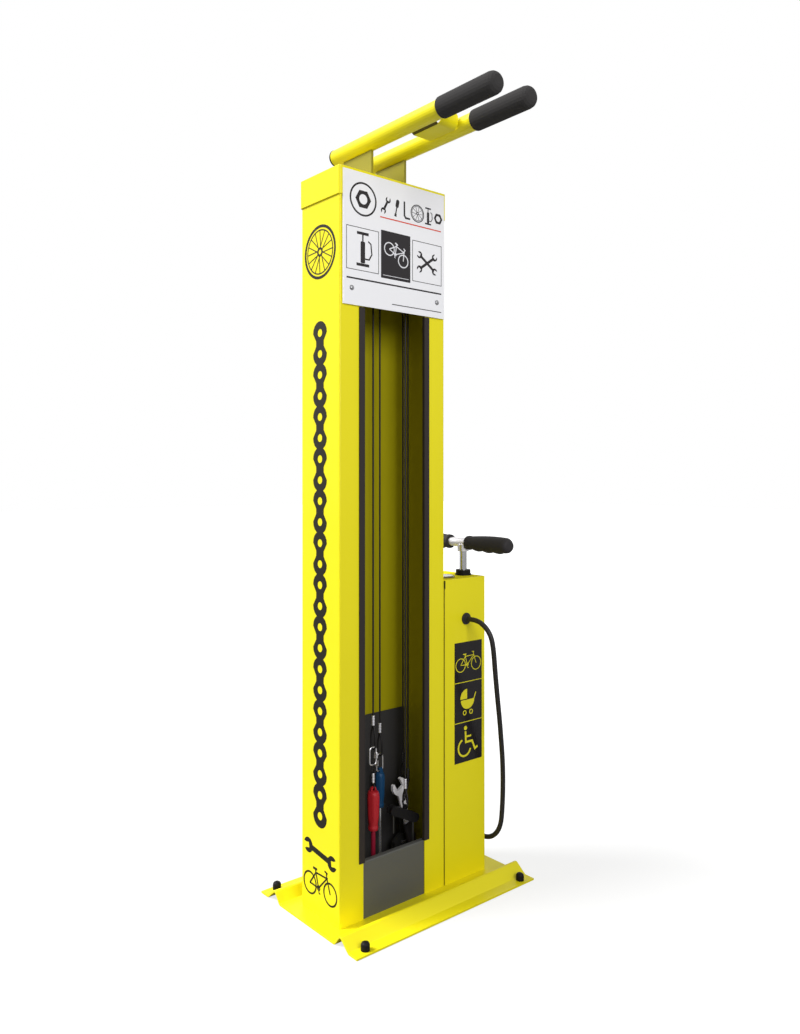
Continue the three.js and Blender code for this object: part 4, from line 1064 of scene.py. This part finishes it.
@dataclass
class SideMarks:
    """The marks down the column's left side."""

    face: float = -0.2035
    middle: float = 0.0

    def build(self) -> None:
        """Cut the wheel, the chain, the spanner and the bicycle from dark film."""
        wheel, chain, spanner, bicycle = (Drawing() for _ in range(4))
        Pictograms(wheel, 1.0, 0, (0, 1301)).wheel()
        Pictograms(chain, 1.0, 0, (0, 200)).chain(24, 41, 46)
        Pictograms(spanner, 0.92, -8, (0, 126)).spanner(88, 18, 1.35)
        Pictograms(bicycle, 0.98, 0, (0, 59)).bicycle(1.15)
        for name, drawing in (("wheel", wheel), ("chain", chain), ("spanner", spanner), ("bicycle", bicycle)):
            drawing.built(f"side_{name}", Face.LEFT, (self.face, self.middle, 0.0), "station", "black_plastic",
                          FILM_MARK)


@dataclass
class PumpSigns:
    """The black film on the pump box with its three light pictograms."""

    front: float = -0.0645
    left: float = 0.0975
    foot: float = 0.251
    width: float = 82
    height: float = 257

    def build(self) -> None:
        """Lay the film and the pictograms on it."""
        film = Drawing(thickness=0.0003)
        film.fill(rounded(0, 0, self.width, self.height, 1.2))
        film.built("pump_film", Face.FRONT, (self.left, self.front, self.foot), "station", "black_plastic", FILM_BLACK)
        marks = Drawing(thickness=0.00055)
        middle, third = self.width / 2, self.height / 3
        Pictograms(marks, 0.66, 0, (middle, 2.5 * third - 6)).bicycle(0.8)
        Pictograms(marks, 0.8, 0, (middle - 2.5, 1.5 * third + 4)).pram()
        Pictograms(marks, 0.98, 0, (middle, 0.5 * third - 1)).wheelchair()
        for k in (1, 2):
            marks.line([(0.5, k * third), (self.width - 0.5, k * third)], 1.5)
        marks.built("pump_pictograms", Face.FRONT, (self.left, self.front, self.foot), "station", "yellow_paint",
                    FILM_YELLOW)


@dataclass
class BridgeTray:
    """The folded tray between the arms: its floor, its raised left edge and its front lip."""

    left: float = -0.0843
    right: float = -0.041
    back: float = -0.1415
    front: float = -0.209
    floor: float = 1.51725
    bend: float = 0.0098
    sheet: float = 0.0025
    edge_side: float = -0.0929
    edge_rise: float = 0.0062
    lip_left: float = -93.7
    lip_right: float = -42.3
    lip_top: float = 1542.8
    lip_corner: float = 7

    def build(self) -> None:
        """Fold the edge strip and the tray, which stands for the plain bridge plate."""
        depth = (0, self.front - self.back, 0)
        edge = folded([(self.edge_side, self.back, self.floor + self.edge_rise),
                       (self.left + 0.0003, self.back, self.floor)], depth, self.sheet)
        # The edge strip is dark olive as painted shade under the left arm.
        fitted(smooth(edge), "arm_tray_edge", "station", SHADE_OLIVE)
        bottom = folded([(self.left, self.back, self.floor), (self.right, self.back, self.floor)], depth, self.sheet)
        modified(bottom, "BEVEL", width=0.004, segments=4, limit_method="ANGLE", angle_limit=math.radians(80),
                 affect="VERTICES")
        turn = [(self.left, self.front - self.bend * math.sin(a), self.floor + self.bend * (1 - math.cos(a)))
                for a in (math.radians(11.25 * k) for k in range(9))]
        curl = folded(turn, (self.right - 0.0013 - self.left, 0, 0), self.sheet)
        tray = recalculated(merged([bottom, curl, self._lip()]))
        fitted(smooth(tray), "arm_bridge_tray", "station", YELLOW)
        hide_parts("arm_bridge_plate")

    def _lip(self) -> bpy.types.Object:
        """Cut the lip that stands up from the bend, with its rounded corner between the arms."""
        lip = Drawing(thickness=self.sheet)
        left, right, top, corner = self.lip_left, self.lip_right, self.lip_top, self.lip_corner
        inner, low = self.left * 1000, (self.floor + self.bend) * 1000
        lip.fill([(inner, low), (right, low), *arc((right - corner, top - corner), corner, 0, 90, 15),
                  (left + 6.7, top), (left, top - corner), (left, low + 3), (inner, low + 3)])
        return moved(merged(lip.shapes), Face.FRONT.matrix((0, self.front - self.bend + self.sheet / 2, 0)))


@dataclass
class Arms:
    """The two arms with their grips, the tray between them and the weld seams under them."""

    carried: Carried
    softened: Softened
    seam: float = 0.0022
    seam_steps: int = 36
    lid_top: float = 1.454
    plates: tuple[float, float] = (-0.11075, -0.02525)
    back: float = 0.0725
    axis: float = 1.526

    def build(self) -> None:
        """Dress the arms and run a weld seam along both sides of each upright plate."""
        self.carried.dress(YELLOW, "arm_tube_left", "arm_tube_right")
        self.carried.dress(FOAM, "arm_grip_left", "arm_grip_right")
        for side, x in zip(("left", "right"), self.plates):
            # The uprights get the darker yellow, which is painted shade under the tubes.
            self.softened.piece(f"arm_upright_{side}", 0.0007, UPRIGHT_YELLOW_SHADED, angle=50)
            self._plug(side, x)
        BridgeTray().build()
        for side, x in zip(("left", "right"), self.plates):
            for hand, offset in (("a", -0.003), ("b", 0.003)):
                self._seam(f"weld_{side}_{hand}", x + offset, -0.0465, 0.0435)

    def _plug(self, side: str, x: float) -> None:
        """Close a tube's back end with a plug whose domed flange shows.

        Args:
            side: Which arm it closes.
            x: The middle of the arm.
        """
        plug = turned_profile([(0.0, -0.014), (0.013, -0.014), (0.0138, 0.0), (0.0173, 0.0), (0.0174, 0.0026),
                               (0.0166, 0.0038), (0.012, 0.0042), (0.0, 0.0042)], 48)
        moved(plug, Matrix.Translation((x, self.back, self.axis)) @ Matrix.Rotation(math.radians(-90), 4, "X"))
        fitted(smooth(plug), f"arm_plug_{side}", "station", BLACK_PLASTIC)
        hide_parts(f"arm_end_plug_{side}")

    def _seam(self, name: str, x: float, start: float, end: float) -> None:
        """Lay one weld seam with its ripples along Y on the lid.

        Args:
            name: The seam's name.
            x: Where it runs across.
            start: Where it starts.
            end: Where it ends.
        """
        last = self.seam_steps - 1
        path = [(x, start + (end - start) * k / last, self.lid_top + 0.0003) for k in range(self.seam_steps)]
        bead = cord_curve(name, path, self.seam, 2)
        for k, dot in enumerate(bead.data.splines[0].points):
            dot.radius = 0.86 + 0.14 * math.cos(k * 2.1)
        fitted(meshed(bead), name, "station", YELLOW)


@dataclass
class ToolLine:
    """One hanging cable: where it hangs, and the eye at its foot."""

    number: int
    body: str
    x: float
    y: float
    eye_foot: float
    with_tools: tuple[str, ...]
    eye_length: float = 0.040
    eye_shift: float = 0.0
    crimp: Finish = CRIMP
    eye_half: float = 0.0072
    radius: float = 0.0018
    hanger: float = 1.232
    ferrule: float = 0.020

    def build(self) -> None:
        """Build the cable, its ferrule and its stop."""
        path = self._path()
        cable = cord_curve(f"cable_{self.number}", path, self.radius)
        ferrule = self._ferrule()
        stop = turned_profile([(0.0, 0.0), (0.0040, 0.0), (0.0046, 0.0006), (0.0046, 0.0114), (0.0040, 0.012),
                               (0.0, 0.012)], 24)
        moved(stop, Matrix.Translation((self.x, self.y, self.hanger + 0.0033)))
        fitted(smooth(stop), f"cable_stop_{self.number}", self.body, CRIMP)
        fitted(cable, f"cable_{self.number}", self.body, SHEATH)
        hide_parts(f"tool_cable_{self.number}")

    def _path(self) -> list[Place]:
        """Return the cable's middle line from the shelf round the eye and back into the ferrule."""
        foot, half, r = self.eye_foot, self.eye_half, self.radius
        centre = foot + r + half
        ferrule_foot = foot + self.eye_length
        top = self.hanger + 0.0033
        drop, waist = top - ferrule_foot - self.ferrule, centre + (ferrule_foot - centre) / 2
        straight = 24
        spots = [(0, 0, top - drop * k / straight) for k in range(straight + 1)]
        spots += [(0, -r * 0.4, ferrule_foot + self.ferrule / 2), (0, -r * 0.75, ferrule_foot),
                  (self.eye_shift / 2, -half * 0.9, waist)]
        for angle in (165, 180, 202, 225, 247, 270, 293, 315, 338, 360, 375):
            a = math.radians(angle)
            spots.append((self.eye_shift, half * math.cos(a), centre + half * math.sin(a)))
        spots += [(self.eye_shift / 2, half * 0.9, waist), (0, r * 0.75, ferrule_foot),
                  (0, r * 0.75, ferrule_foot + self.ferrule * 0.6)]
        return smoothed([(self.x + x, self.y + y, z) for x, y, z in spots], 6, straight)

    def _ferrule(self) -> bpy.types.Object:
        """Build the pressed ferrule with the marks of its crimping."""
        ferrule = pressed_ferrule(0.0033, self.ferrule)
        moved(ferrule, Matrix.Translation((self.x, self.y, self.eye_foot + self.eye_length)))
        return fitted(smooth(ferrule), f"cable_ferrule_{self.number}", self.body, self.crimp)


def pressed_ferrule(radius: float, length: float) -> bpy.types.Object:
    """Turn a ferrule with three rings pressed into it.

    Args:
        radius: Its outer radius.
        length: Its length.

    Returns:
        The ferrule, standing on the origin.
    """
    rim, press = radius - 0.0004, radius - 0.0003
    profile: list[Point] = [(0.0, 0.0), (rim, 0.0), (radius, 0.0006)]
    for k in range(3):
        start = 0.003 + 0.0056 * k
        profile += [(radius, start), (press, start + 0.0008), (press, start + 0.0026), (radius, start + 0.0034)]
    profile += [(radius, length - 0.0006), (rim, length), (0.0, length)]
    return turned_profile(profile, 20)


def smoothed(points: Sequence[Place], steps: int, first: int) -> list[Place]:
    """Run a smooth line through points.

    Args:
        points: The points.
        steps: The number of steps between two points.
        first: The points before this one stay as they are.

    Returns:
        The finer line.
    """
    line = [tuple(p) for p in points[:first]]
    path = [Vector(p) for p in points]
    for i in range(first, len(path) - 1):
        before, here, after, beyond = path[max(i - 1, 0)], path[i], path[i + 1], path[min(i + 2, len(path) - 1)]
        for k in range(steps):
            t = k / steps
            spot = 0.5 * (2 * here + (after - before) * t + (2 * before - 5 * here + 4 * after - beyond) * t * t
                          + (3 * here - before - 3 * after + beyond) * t ** 3)
            line.append(tuple(spot))
    line.append(tuple(path[-1]))
    return line


def cord_curve(name: str, path: Sequence[Place], radius: float, resolution: int = 3, closed: bool = False
               ) -> bpy.types.Object:
    """Make a round cord or wire along a line.

    Args:
        name: Its name.
        path: Its middle line.
        radius: Its radius.
        resolution: The fineness of its round section.
        closed: Whether its end joins its start.

    Returns:
        The curve object.
    """
    curve = bpy.data.curves.new(name, "CURVE")
    curve.dimensions = "3D"
    curve.bevel_depth = radius
    curve.bevel_resolution = resolution
    curve.use_fill_caps = True
    spline = curve.splines.new("POLY")
    spline.points.add(len(path) - 1)
    for dot, spot in zip(spline.points, path):
        dot.co = (*spot, 1)
    spline.use_smooth = True
    spline.use_cyclic_u = closed
    cord = bpy.data.objects.new(name, curve)
    bpy.context.collection.objects.link(cord)
    return cord


@dataclass
class HandTools:
    """The tools that hang in the bay."""

    carried: Carried
    softened: Softened

    def build(self) -> None:
        """Dress the tools and round their forged edges."""
        self.carried.dress(RED_PLASTIC, "screwdriver_red_handle")
        self.carried.dress(RED_SLEEVE, "screwdriver_red_blade")
        self.carried.dress(BLUE_PLASTIC, "screwdriver_blue_handle")
        self.carried.dress(SATIN_STEEL, "screwdriver_blue_blade")
        self.softened.piece("open_wrench", 0.0006, CAST_STEEL, angle=50)
        self.softened.piece("open_wrench_sleeve", 0.0004, GRIP_RUBBER, angle=50)
        self.carried.dress(DARK_STEEL, "adjustable_wrench", "adjustable_jaw", "hex_key_large", "hex_key_small")
        self.carried.dress(SATIN_STEEL, "adjustable_worm")
        self.softened.piece("hex_key_holder", 0.0005, BLACK_PLASTIC, angle=50)


@dataclass
class QuickLink:
    """One steel link with its closing nut."""

    colour: str
    x: float
    y: float
    foot: float
    nut_side: int
    width: float = 0.020
    height: float = 0.039
    wire: float = 0.0017
    corner: float = 0.0062

    def build(self) -> None:
        """Bend the link's wire and run its nut on."""
        half, low, high = self.width / 2 - self.wire, self.foot + self.wire, self.foot + self.height - self.wire
        outline = rounded(self.x - half, low, self.x + half, high, self.corner)
        wire = cord_curve("link_wire", [(x, self.y, z) for x, z in outline], self.wire, closed=True)
        nut = turned_profile([(0.0, 0.0), (0.0034, 0.0), (0.0042, 0.0009), (0.0042, 0.0111), (0.0034, 0.012),
                              (0.0, 0.012)], 6)
        moved(nut, Matrix.Translation((self.x + self.nut_side * (half - 0.0006), self.y, (low + high) / 2 - 0.006)))
        link = merged([meshed(wire), nut])
        fitted(link, f"quick_link_{self.colour}", f"{self.colour}_line", SATIN_STEEL)
        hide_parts(f"tool_link_{self.colour}")


@dataclass
class Lanyard:
    """The short looped cable between the red driver and its link, with its ferrule."""

    x: float = -0.0813
    y: float = -0.0125
    low: float = 0.2316
    top: float = 0.2757
    half: float = 0.0046
    radius: float = 0.0011
    ferrule_foot: float = 0.2405
    ferrule: float = 0.0190

    def build(self) -> None:
        """Lay the cable through the link, its ferrule and the driver's lug, and press the ferrule on."""
        path = self._path()
        loop = cord_curve("driver_lanyard", path, self.radius)
        fitted(loop, "driver_lanyard", "red_driver", SHEATH)
        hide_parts("tool_lanyard_red")
        ferrule = moved(pressed_ferrule(0.0031, self.ferrule), Matrix.Translation((self.x, self.y, self.ferrule_foot)))
        fitted(smooth(ferrule), "lanyard_ferrule", "red_driver", CRIMP)

    def _path(self) -> list[Place]:
        """Return the cable's middle line, from inside the ferrule and back into it."""
        close, foot, head = self.radius * 1.15, self.ferrule_foot, self.ferrule_foot + self.ferrule
        spots = [(close, foot + 0.011), (close, head - 0.001), *arc((0, self.top), self.half, 0, 180, 30),
                 (-close, head - 0.001), (-close, foot + 0.006), (-close, foot + 0.001),
                 *arc((0, self.low), self.half, 180, 360, 30), (close, foot + 0.001), (close, foot + 0.008)]
        return smoothed([(self.x, self.y + y, z) for y, z in spots], 6, 0)


@dataclass
class PumpBox:
    """The pump box with its cover, collar, plunger and handle; its strips are in millimetres."""

    carried: Carried
    softened: Softened
    grips: tuple[tuple[str, float, float], ...] = (("front", -0.160, -0.0345), ("back", 0.0205, 0.1305))
    # notch: a black strip painted as the shadow inside the corner notch
    notch: tuple[float, float, float, float] = (0.1, 622, 3.3, 639.5)
    # seam: a dark strip painted as the shadow in the groove between column and pump box
    seam: tuple[float, float, float, float] = (0.05, 0.5, 1.5, 621.8)

    def build(self) -> None:
        """Dress the box and what works in it."""
        self.carried.dress(YELLOW, "pump_box")
        self.softened.piece("pump_box_cover", 0.0004, COVER_YELLOW, angle=60)
        self.carried.dress(BLACK_PLASTIC, "pump_collar", "pump_piston")
        self.carried.dress(POLISHED_ROD, "pump_rod")
        self.carried.dress(SATIN_STEEL, "pump_handle_bar", "pump_barrel", "pump_foot", "head_clip", "pump_head_lever")
        self.carried.dress(GRIP_RUBBER, "hose_grommet")
        for side, start, end in self.grips:
            self._grip(side, start, end)
        for name, strip, thickness, slot, finish in (
            # painted shadow in the corner notch
            ("corner_notch_painted_shadow", self.notch, 0.0003, "black_plastic", BLACK_PLASTIC),
            # painted shadow along the seam
            ("column_seam_painted_shadow", self.seam, 0.0004, "yellow_paint", SHADE_OLIVE),
        ):
            drawing = Drawing(thickness=thickness)
            drawing.fill(rectangle(*strip))
            drawing.built(name, Face.FRONT, PUMP_FOOT, "station", slot, finish)
        self.softened.piece("pump_head", 0.0007, BLACK_PLASTIC, angle=50)

    def _grip(self, side: str, start: float, end: float) -> None:
        """Pull one of the handle's grips to its length.

        Args:
            side: Which grip it is.
            start: Where it starts along Y.
            end: Where it ends.
        """
        grip = self.softened.piece(f"pump_grip_{side}", 0.0003, GRIP_RUBBER, angle=70)
        low, high = (corner[1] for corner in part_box(f"pump_grip_{side}"))
        for dot in grip.data.vertices:
            dot.co.y = start + (dot.co.y - low) * (end - start) / (high - low)


@dataclass
class PressureGauge:
    """The gauge in the pump box's cover: its dial, figures and lens."""

    carried: Carried
    centre: Place = (0.103, -0.0205, 0.6458)
    radius: float = 0.0228

    def build(self) -> None:
        """Lay the dial with its scale, and dress the case, the needle and the lens."""
        self.carried.dress(GAUGE_RIM, "gauge_case")
        self.carried.dress(NEEDLE_RED, "gauge_needle")
        self.carried.dress(LENS, "gauge_lens")
        card = turned_profile([(0.0012, 0.0), (self.radius, 0.0), (self.radius, 0.0001), (0.0012, 0.0001),
                               (0.0012, 0.0)], 48)
        moved(card, Matrix.Translation(self.centre))
        fitted(card, "gauge_card", "station", DIAL)
        scale = Drawing(thickness=0.00005, step=0.0)
        for k in range(61):
            a = math.radians(225 - 270 * k / 60)
            inner = 17.2 if k % 10 == 0 else 18.6 if k % 5 == 0 else 19.8
            c, s = math.cos(a), math.sin(a)
            scale.line([(inner * c, inner * s), (21.2 * c, 21.2 * s)], 0.5 if k % 5 else 0.8)
        scale.shapes.extend(self._figures())
        at = (self.centre[0], self.centre[1], self.centre[2] + 0.0001)
        scale.built("gauge_scale", Face.TOP, at, "station", "black_plastic", INK_DARK)

    def _figures(self) -> list[bpy.types.Object]:
        """Make the figures 0 to 12 of the scale."""
        figures = []
        for k in range(7):
            a = math.radians(225 - 45 * k)
            deselect()
            bpy.ops.object.text_add(location=(0.0136 * math.cos(a), 0.0136 * math.sin(a), 0))
            text = bpy.context.object
            text.data.body = str(2 * k)
            text.data.size = 0.0052
            text.data.align_x = "CENTER"
            text.data.align_y = "CENTER"
            text.data.extrude = 0.00002
            bpy.ops.object.convert(target="MESH")
            figures.append(settled(text))
        return figures


@dataclass
class Hose:
    """The pump hose in its parked shape."""

    radius: float = 0.0053
    route: tuple[Place, ...] = (
        (63.5, -8.3, 554), (63.5, -18, 554), (63.6, -29, 553.6), (64.1, -43.8, 550.2), (65.1, -56.4, 542.7),
        (66.7, -66, 531.7), (68.8, -71.4, 518), (72, -72.6, 500), (77, -70.8, 478), (83, -67.6, 452),
        (91.5, -63, 420), (101.5, -58, 382), (113, -52.5, 338), (124.5, -46, 294), (135.5, -39.4, 250),
        (144.1, -33, 208), (149.2, -28, 170), (150.8, -25, 138), (150.6, -22, 106), (149.6, -16.6, 86.6),
        (148, -7.2, 71.8), (146.4, 6, 61.8), (144.8, 20.6, 57.4), (143.4, 35.4, 58.1), (142, 49.7, 63.9),
        (140.8, 62, 75), (139.9, 70.4, 91), (139.2, 75, 112), (138.6, 76.4, 140), (138, 76, 180),
        (137.5, 75, 235), (137.2, 74.4, 300), (137, 74, 360), (137, 74, 397.7),
    )

    def build(self) -> None:
        points = [tuple(a / 1000 + b for a, b in zip(spot, PUMP_FOOT)) for spot in self.route]
        path = smoothed(points, 5, 0)
        hose = cord_curve("hose_run", path, self.radius, 5)
        fitted(hose, "hose_run", "station", HOSE_RUBBER)
        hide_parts("pump_hose")


@dataclass
class Studio:
    """The pale floor, the lamps, the world and the camera."""

    eye: Place = (-1.15546, -1.37101, 0.86385)
    focal_px: float = 851.6
    frame_px: tuple[int, int] = (800, 1034)
    horizon_px: float = 476.0
    yaw: float = -40.14
    sun_from: Place = (-0.6, 0.37, 0.71)
    sun_strength: float = 4.4
    sun_spread: float = 26
    fill_at: Place = (-0.75, -2.8, 1.9)
    fill_towards: Place = (0.0, 0.0, 0.9)
    fill_side: float = 1.6
    fill_power: float = 52
    room_light: float = 0.32
    floor_tone: float = 0.25

    def build(self) -> None:
        """Set up the camera, the floor and the light."""
        self._camera()
        self._floor()
        self._world()
        self._sun()
        self._fill()
        bpy.context.scene.view_settings.view_transform = "Standard"

    def _camera(self) -> None:
        """Place the camera where the photograph was seen from."""
        deselect()
        bpy.ops.object.camera_add(location=self.eye, rotation=(math.radians(90), 0, math.radians(self.yaw)))
        camera = bpy.context.object
        camera.name = "camera"
        camera.data.sensor_fit = "AUTO"
        camera.data.sensor_width = 36
        camera.data.lens = self.focal_px / self.frame_px[1] * 36
        camera.data.shift_y = (self.horizon_px - self.frame_px[1] / 2) / self.frame_px[1]
        bpy.context.scene.camera = camera

    def _floor(self) -> None:
        """Lay a pale floor that keeps the station's soft shadow."""
        deselect()
        bpy.ops.mesh.primitive_plane_add(size=40, location=(0, 0, -0.0002))
        floor = bpy.context.object
        floor.name = "floor"
        material = bpy.data.materials.new("pale_floor")
        material.use_nodes = True
        tree = material.node_tree
        shader = tree.nodes["Principled BSDF"]
        shader.inputs["Base Color"].default_value = (self.floor_tone, self.floor_tone, self.floor_tone, 1)
        shader.inputs["Roughness"].default_value = 0.9
        shader.inputs["Specular IOR Level"].default_value = 0.1
        reach = wired(tree, "VectorMath", {0: wired(tree, "TexCoord", {}).outputs["Object"]}, operation="LENGTH")
        rise = wired(tree, "MapRange", {"Value": reach.outputs["Value"], "From Min": 0.35, "From Max": 1.6,
                                        "To Min": 0.75, "To Max": 1.0}, interpolation_type="SMOOTHSTEP")
        glow = wired(tree, "Emission", {"Strength": rise.outputs[0]})
        both = wired(tree, "AddShader", {0: shader.outputs[0], 1: glow.outputs[0]})
        seen = wired(tree, "LightPath", {}).outputs["Is Camera Ray"]
        choice = wired(tree, "MixShader", {0: seen, 1: shader.outputs[0], 2: both.outputs[0]})
        tree.links.new(choice.outputs[0], tree.nodes["Material Output"].inputs["Surface"])
        floor.data.materials.append(material)

    def _world(self) -> None:
        """Light the room evenly, and show white where the camera, gloss or glass looks."""
        world = bpy.data.worlds.new("room")
        bpy.context.scene.world = world
        world.use_nodes = True
        tree = world.node_tree
        soft = tree.nodes["Background"]
        soft.inputs["Color"].default_value = (1, 1, 1, 1)
        soft.inputs["Strength"].default_value = self.room_light
        white = wired(tree, "Background", {"Color": (1, 1, 1, 1), "Strength": 1.0})
        seen = wired(tree, "LightPath", {}).outputs
        either = wired(tree, "Math", {0: seen["Is Camera Ray"], 1: seen["Is Glossy Ray"]}, operation="MAXIMUM")
        any_ray = wired(tree, "Math", {0: either.outputs[0], 1: seen["Is Transmission Ray"]}, operation="MAXIMUM")
        choice = wired(tree, "MixShader", {0: any_ray.outputs[0], 1: soft.outputs[0], 2: white.outputs[0]})
        tree.links.new(choice.outputs[0], tree.nodes["World Output"].inputs["Surface"])

    def _sun(self) -> None:
        """Add the even main light, wide enough to soften its shadows."""
        deselect()
        bpy.ops.object.light_add(type="SUN", location=Vector(self.sun_from) * 4)
        sun = bpy.context.object
        sun.name = "key_sun"
        sun.data.energy = self.sun_strength
        sun.data.angle = math.radians(self.sun_spread)
        sun.rotation_euler = Vector(self.sun_from).to_track_quat("Z", "Y").to_euler()

    def _fill(self) -> None:
        """Add the square soft lamp in front."""
        deselect()
        bpy.ops.object.light_add(type="AREA", location=self.fill_at)
        lamp = bpy.context.object
        lamp.name = "fill_front"
        lamp.data.shape = "SQUARE"
        lamp.data.size = self.fill_side
        lamp.data.energy = self.fill_power
        lamp.rotation_euler = (Vector(self.fill_towards) - Vector(self.fill_at)).to_track_quat("-Z", "Y").to_euler()


def in_column(x: float, y: float, z: float) -> Place:
    """Return the place that lies so many millimetres from the column's foot."""
    return (COLUMN_FOOT[0] + x / 1000, COLUMN_FOOT[1] + y / 1000, COLUMN_FOOT[2] + z / 1000)


def lines() -> list[ToolLine]:
    """Return the five tool lines.

    Returns:
        The lines, each with the tools that hang on it.
    """
    return [
        ToolLine(1, "red_line", *in_column(122.2, 52, 303), ("quick_link_red",), 0.050),
        ToolLine(2, "blue_line", *in_column(168.6, 88, 271), ("quick_link_blue",), 0.050),
        ToolLine(3, "wrench_line", *in_column(227.5, 66, 172), (), 0.046, -0.016, BLACK_CRIMP),
        ToolLine(4, "adjustable_line", *in_column(235.5, 92, 204), (), crimp=BLACK_CRIMP),
        ToolLine(5, "hex_line", *in_column(187.5, 28, 176), ()),
    ]


def main() -> None:
    """Build and dress the whole station."""
    logging.basicConfig(level=logging.INFO, format="%(name)s: %(message)s")
    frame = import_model()
    nodes = frame["nodes"]
    record = frame["record"]
    owner = {node: body for body, names in record["behaviour"]["bodies"].items() for node in names}
    slots = {entry["node"]: entry["material_slot"] for entry in record["subparts"]}
    carried = Carried(nodes)
    softened = Softened(nodes, owner, slots)
    Studio().build()
    HandTools(carried, softened).build()
    PumpBox(carried, softened).build()
    QuickLink("red", -0.08197, -0.0125, 0.2751, 1).build()
    QuickLink("blue", -0.03558, 0.0235, 0.2431, -1).build()
    for line in lines():
        line.build()
    Lanyard().build()
    Hose().build()
    BasePlate(softened).build()
    Column(carried, softened).build()
    SignPlate(softened).build()
    SideMarks().build()
    PumpSigns().build()
    Arms(carried, softened).build()
    PressureGauge(carried).build()
    bpy.context.view_layer.update()


if __name__ == "__main__":
    main()
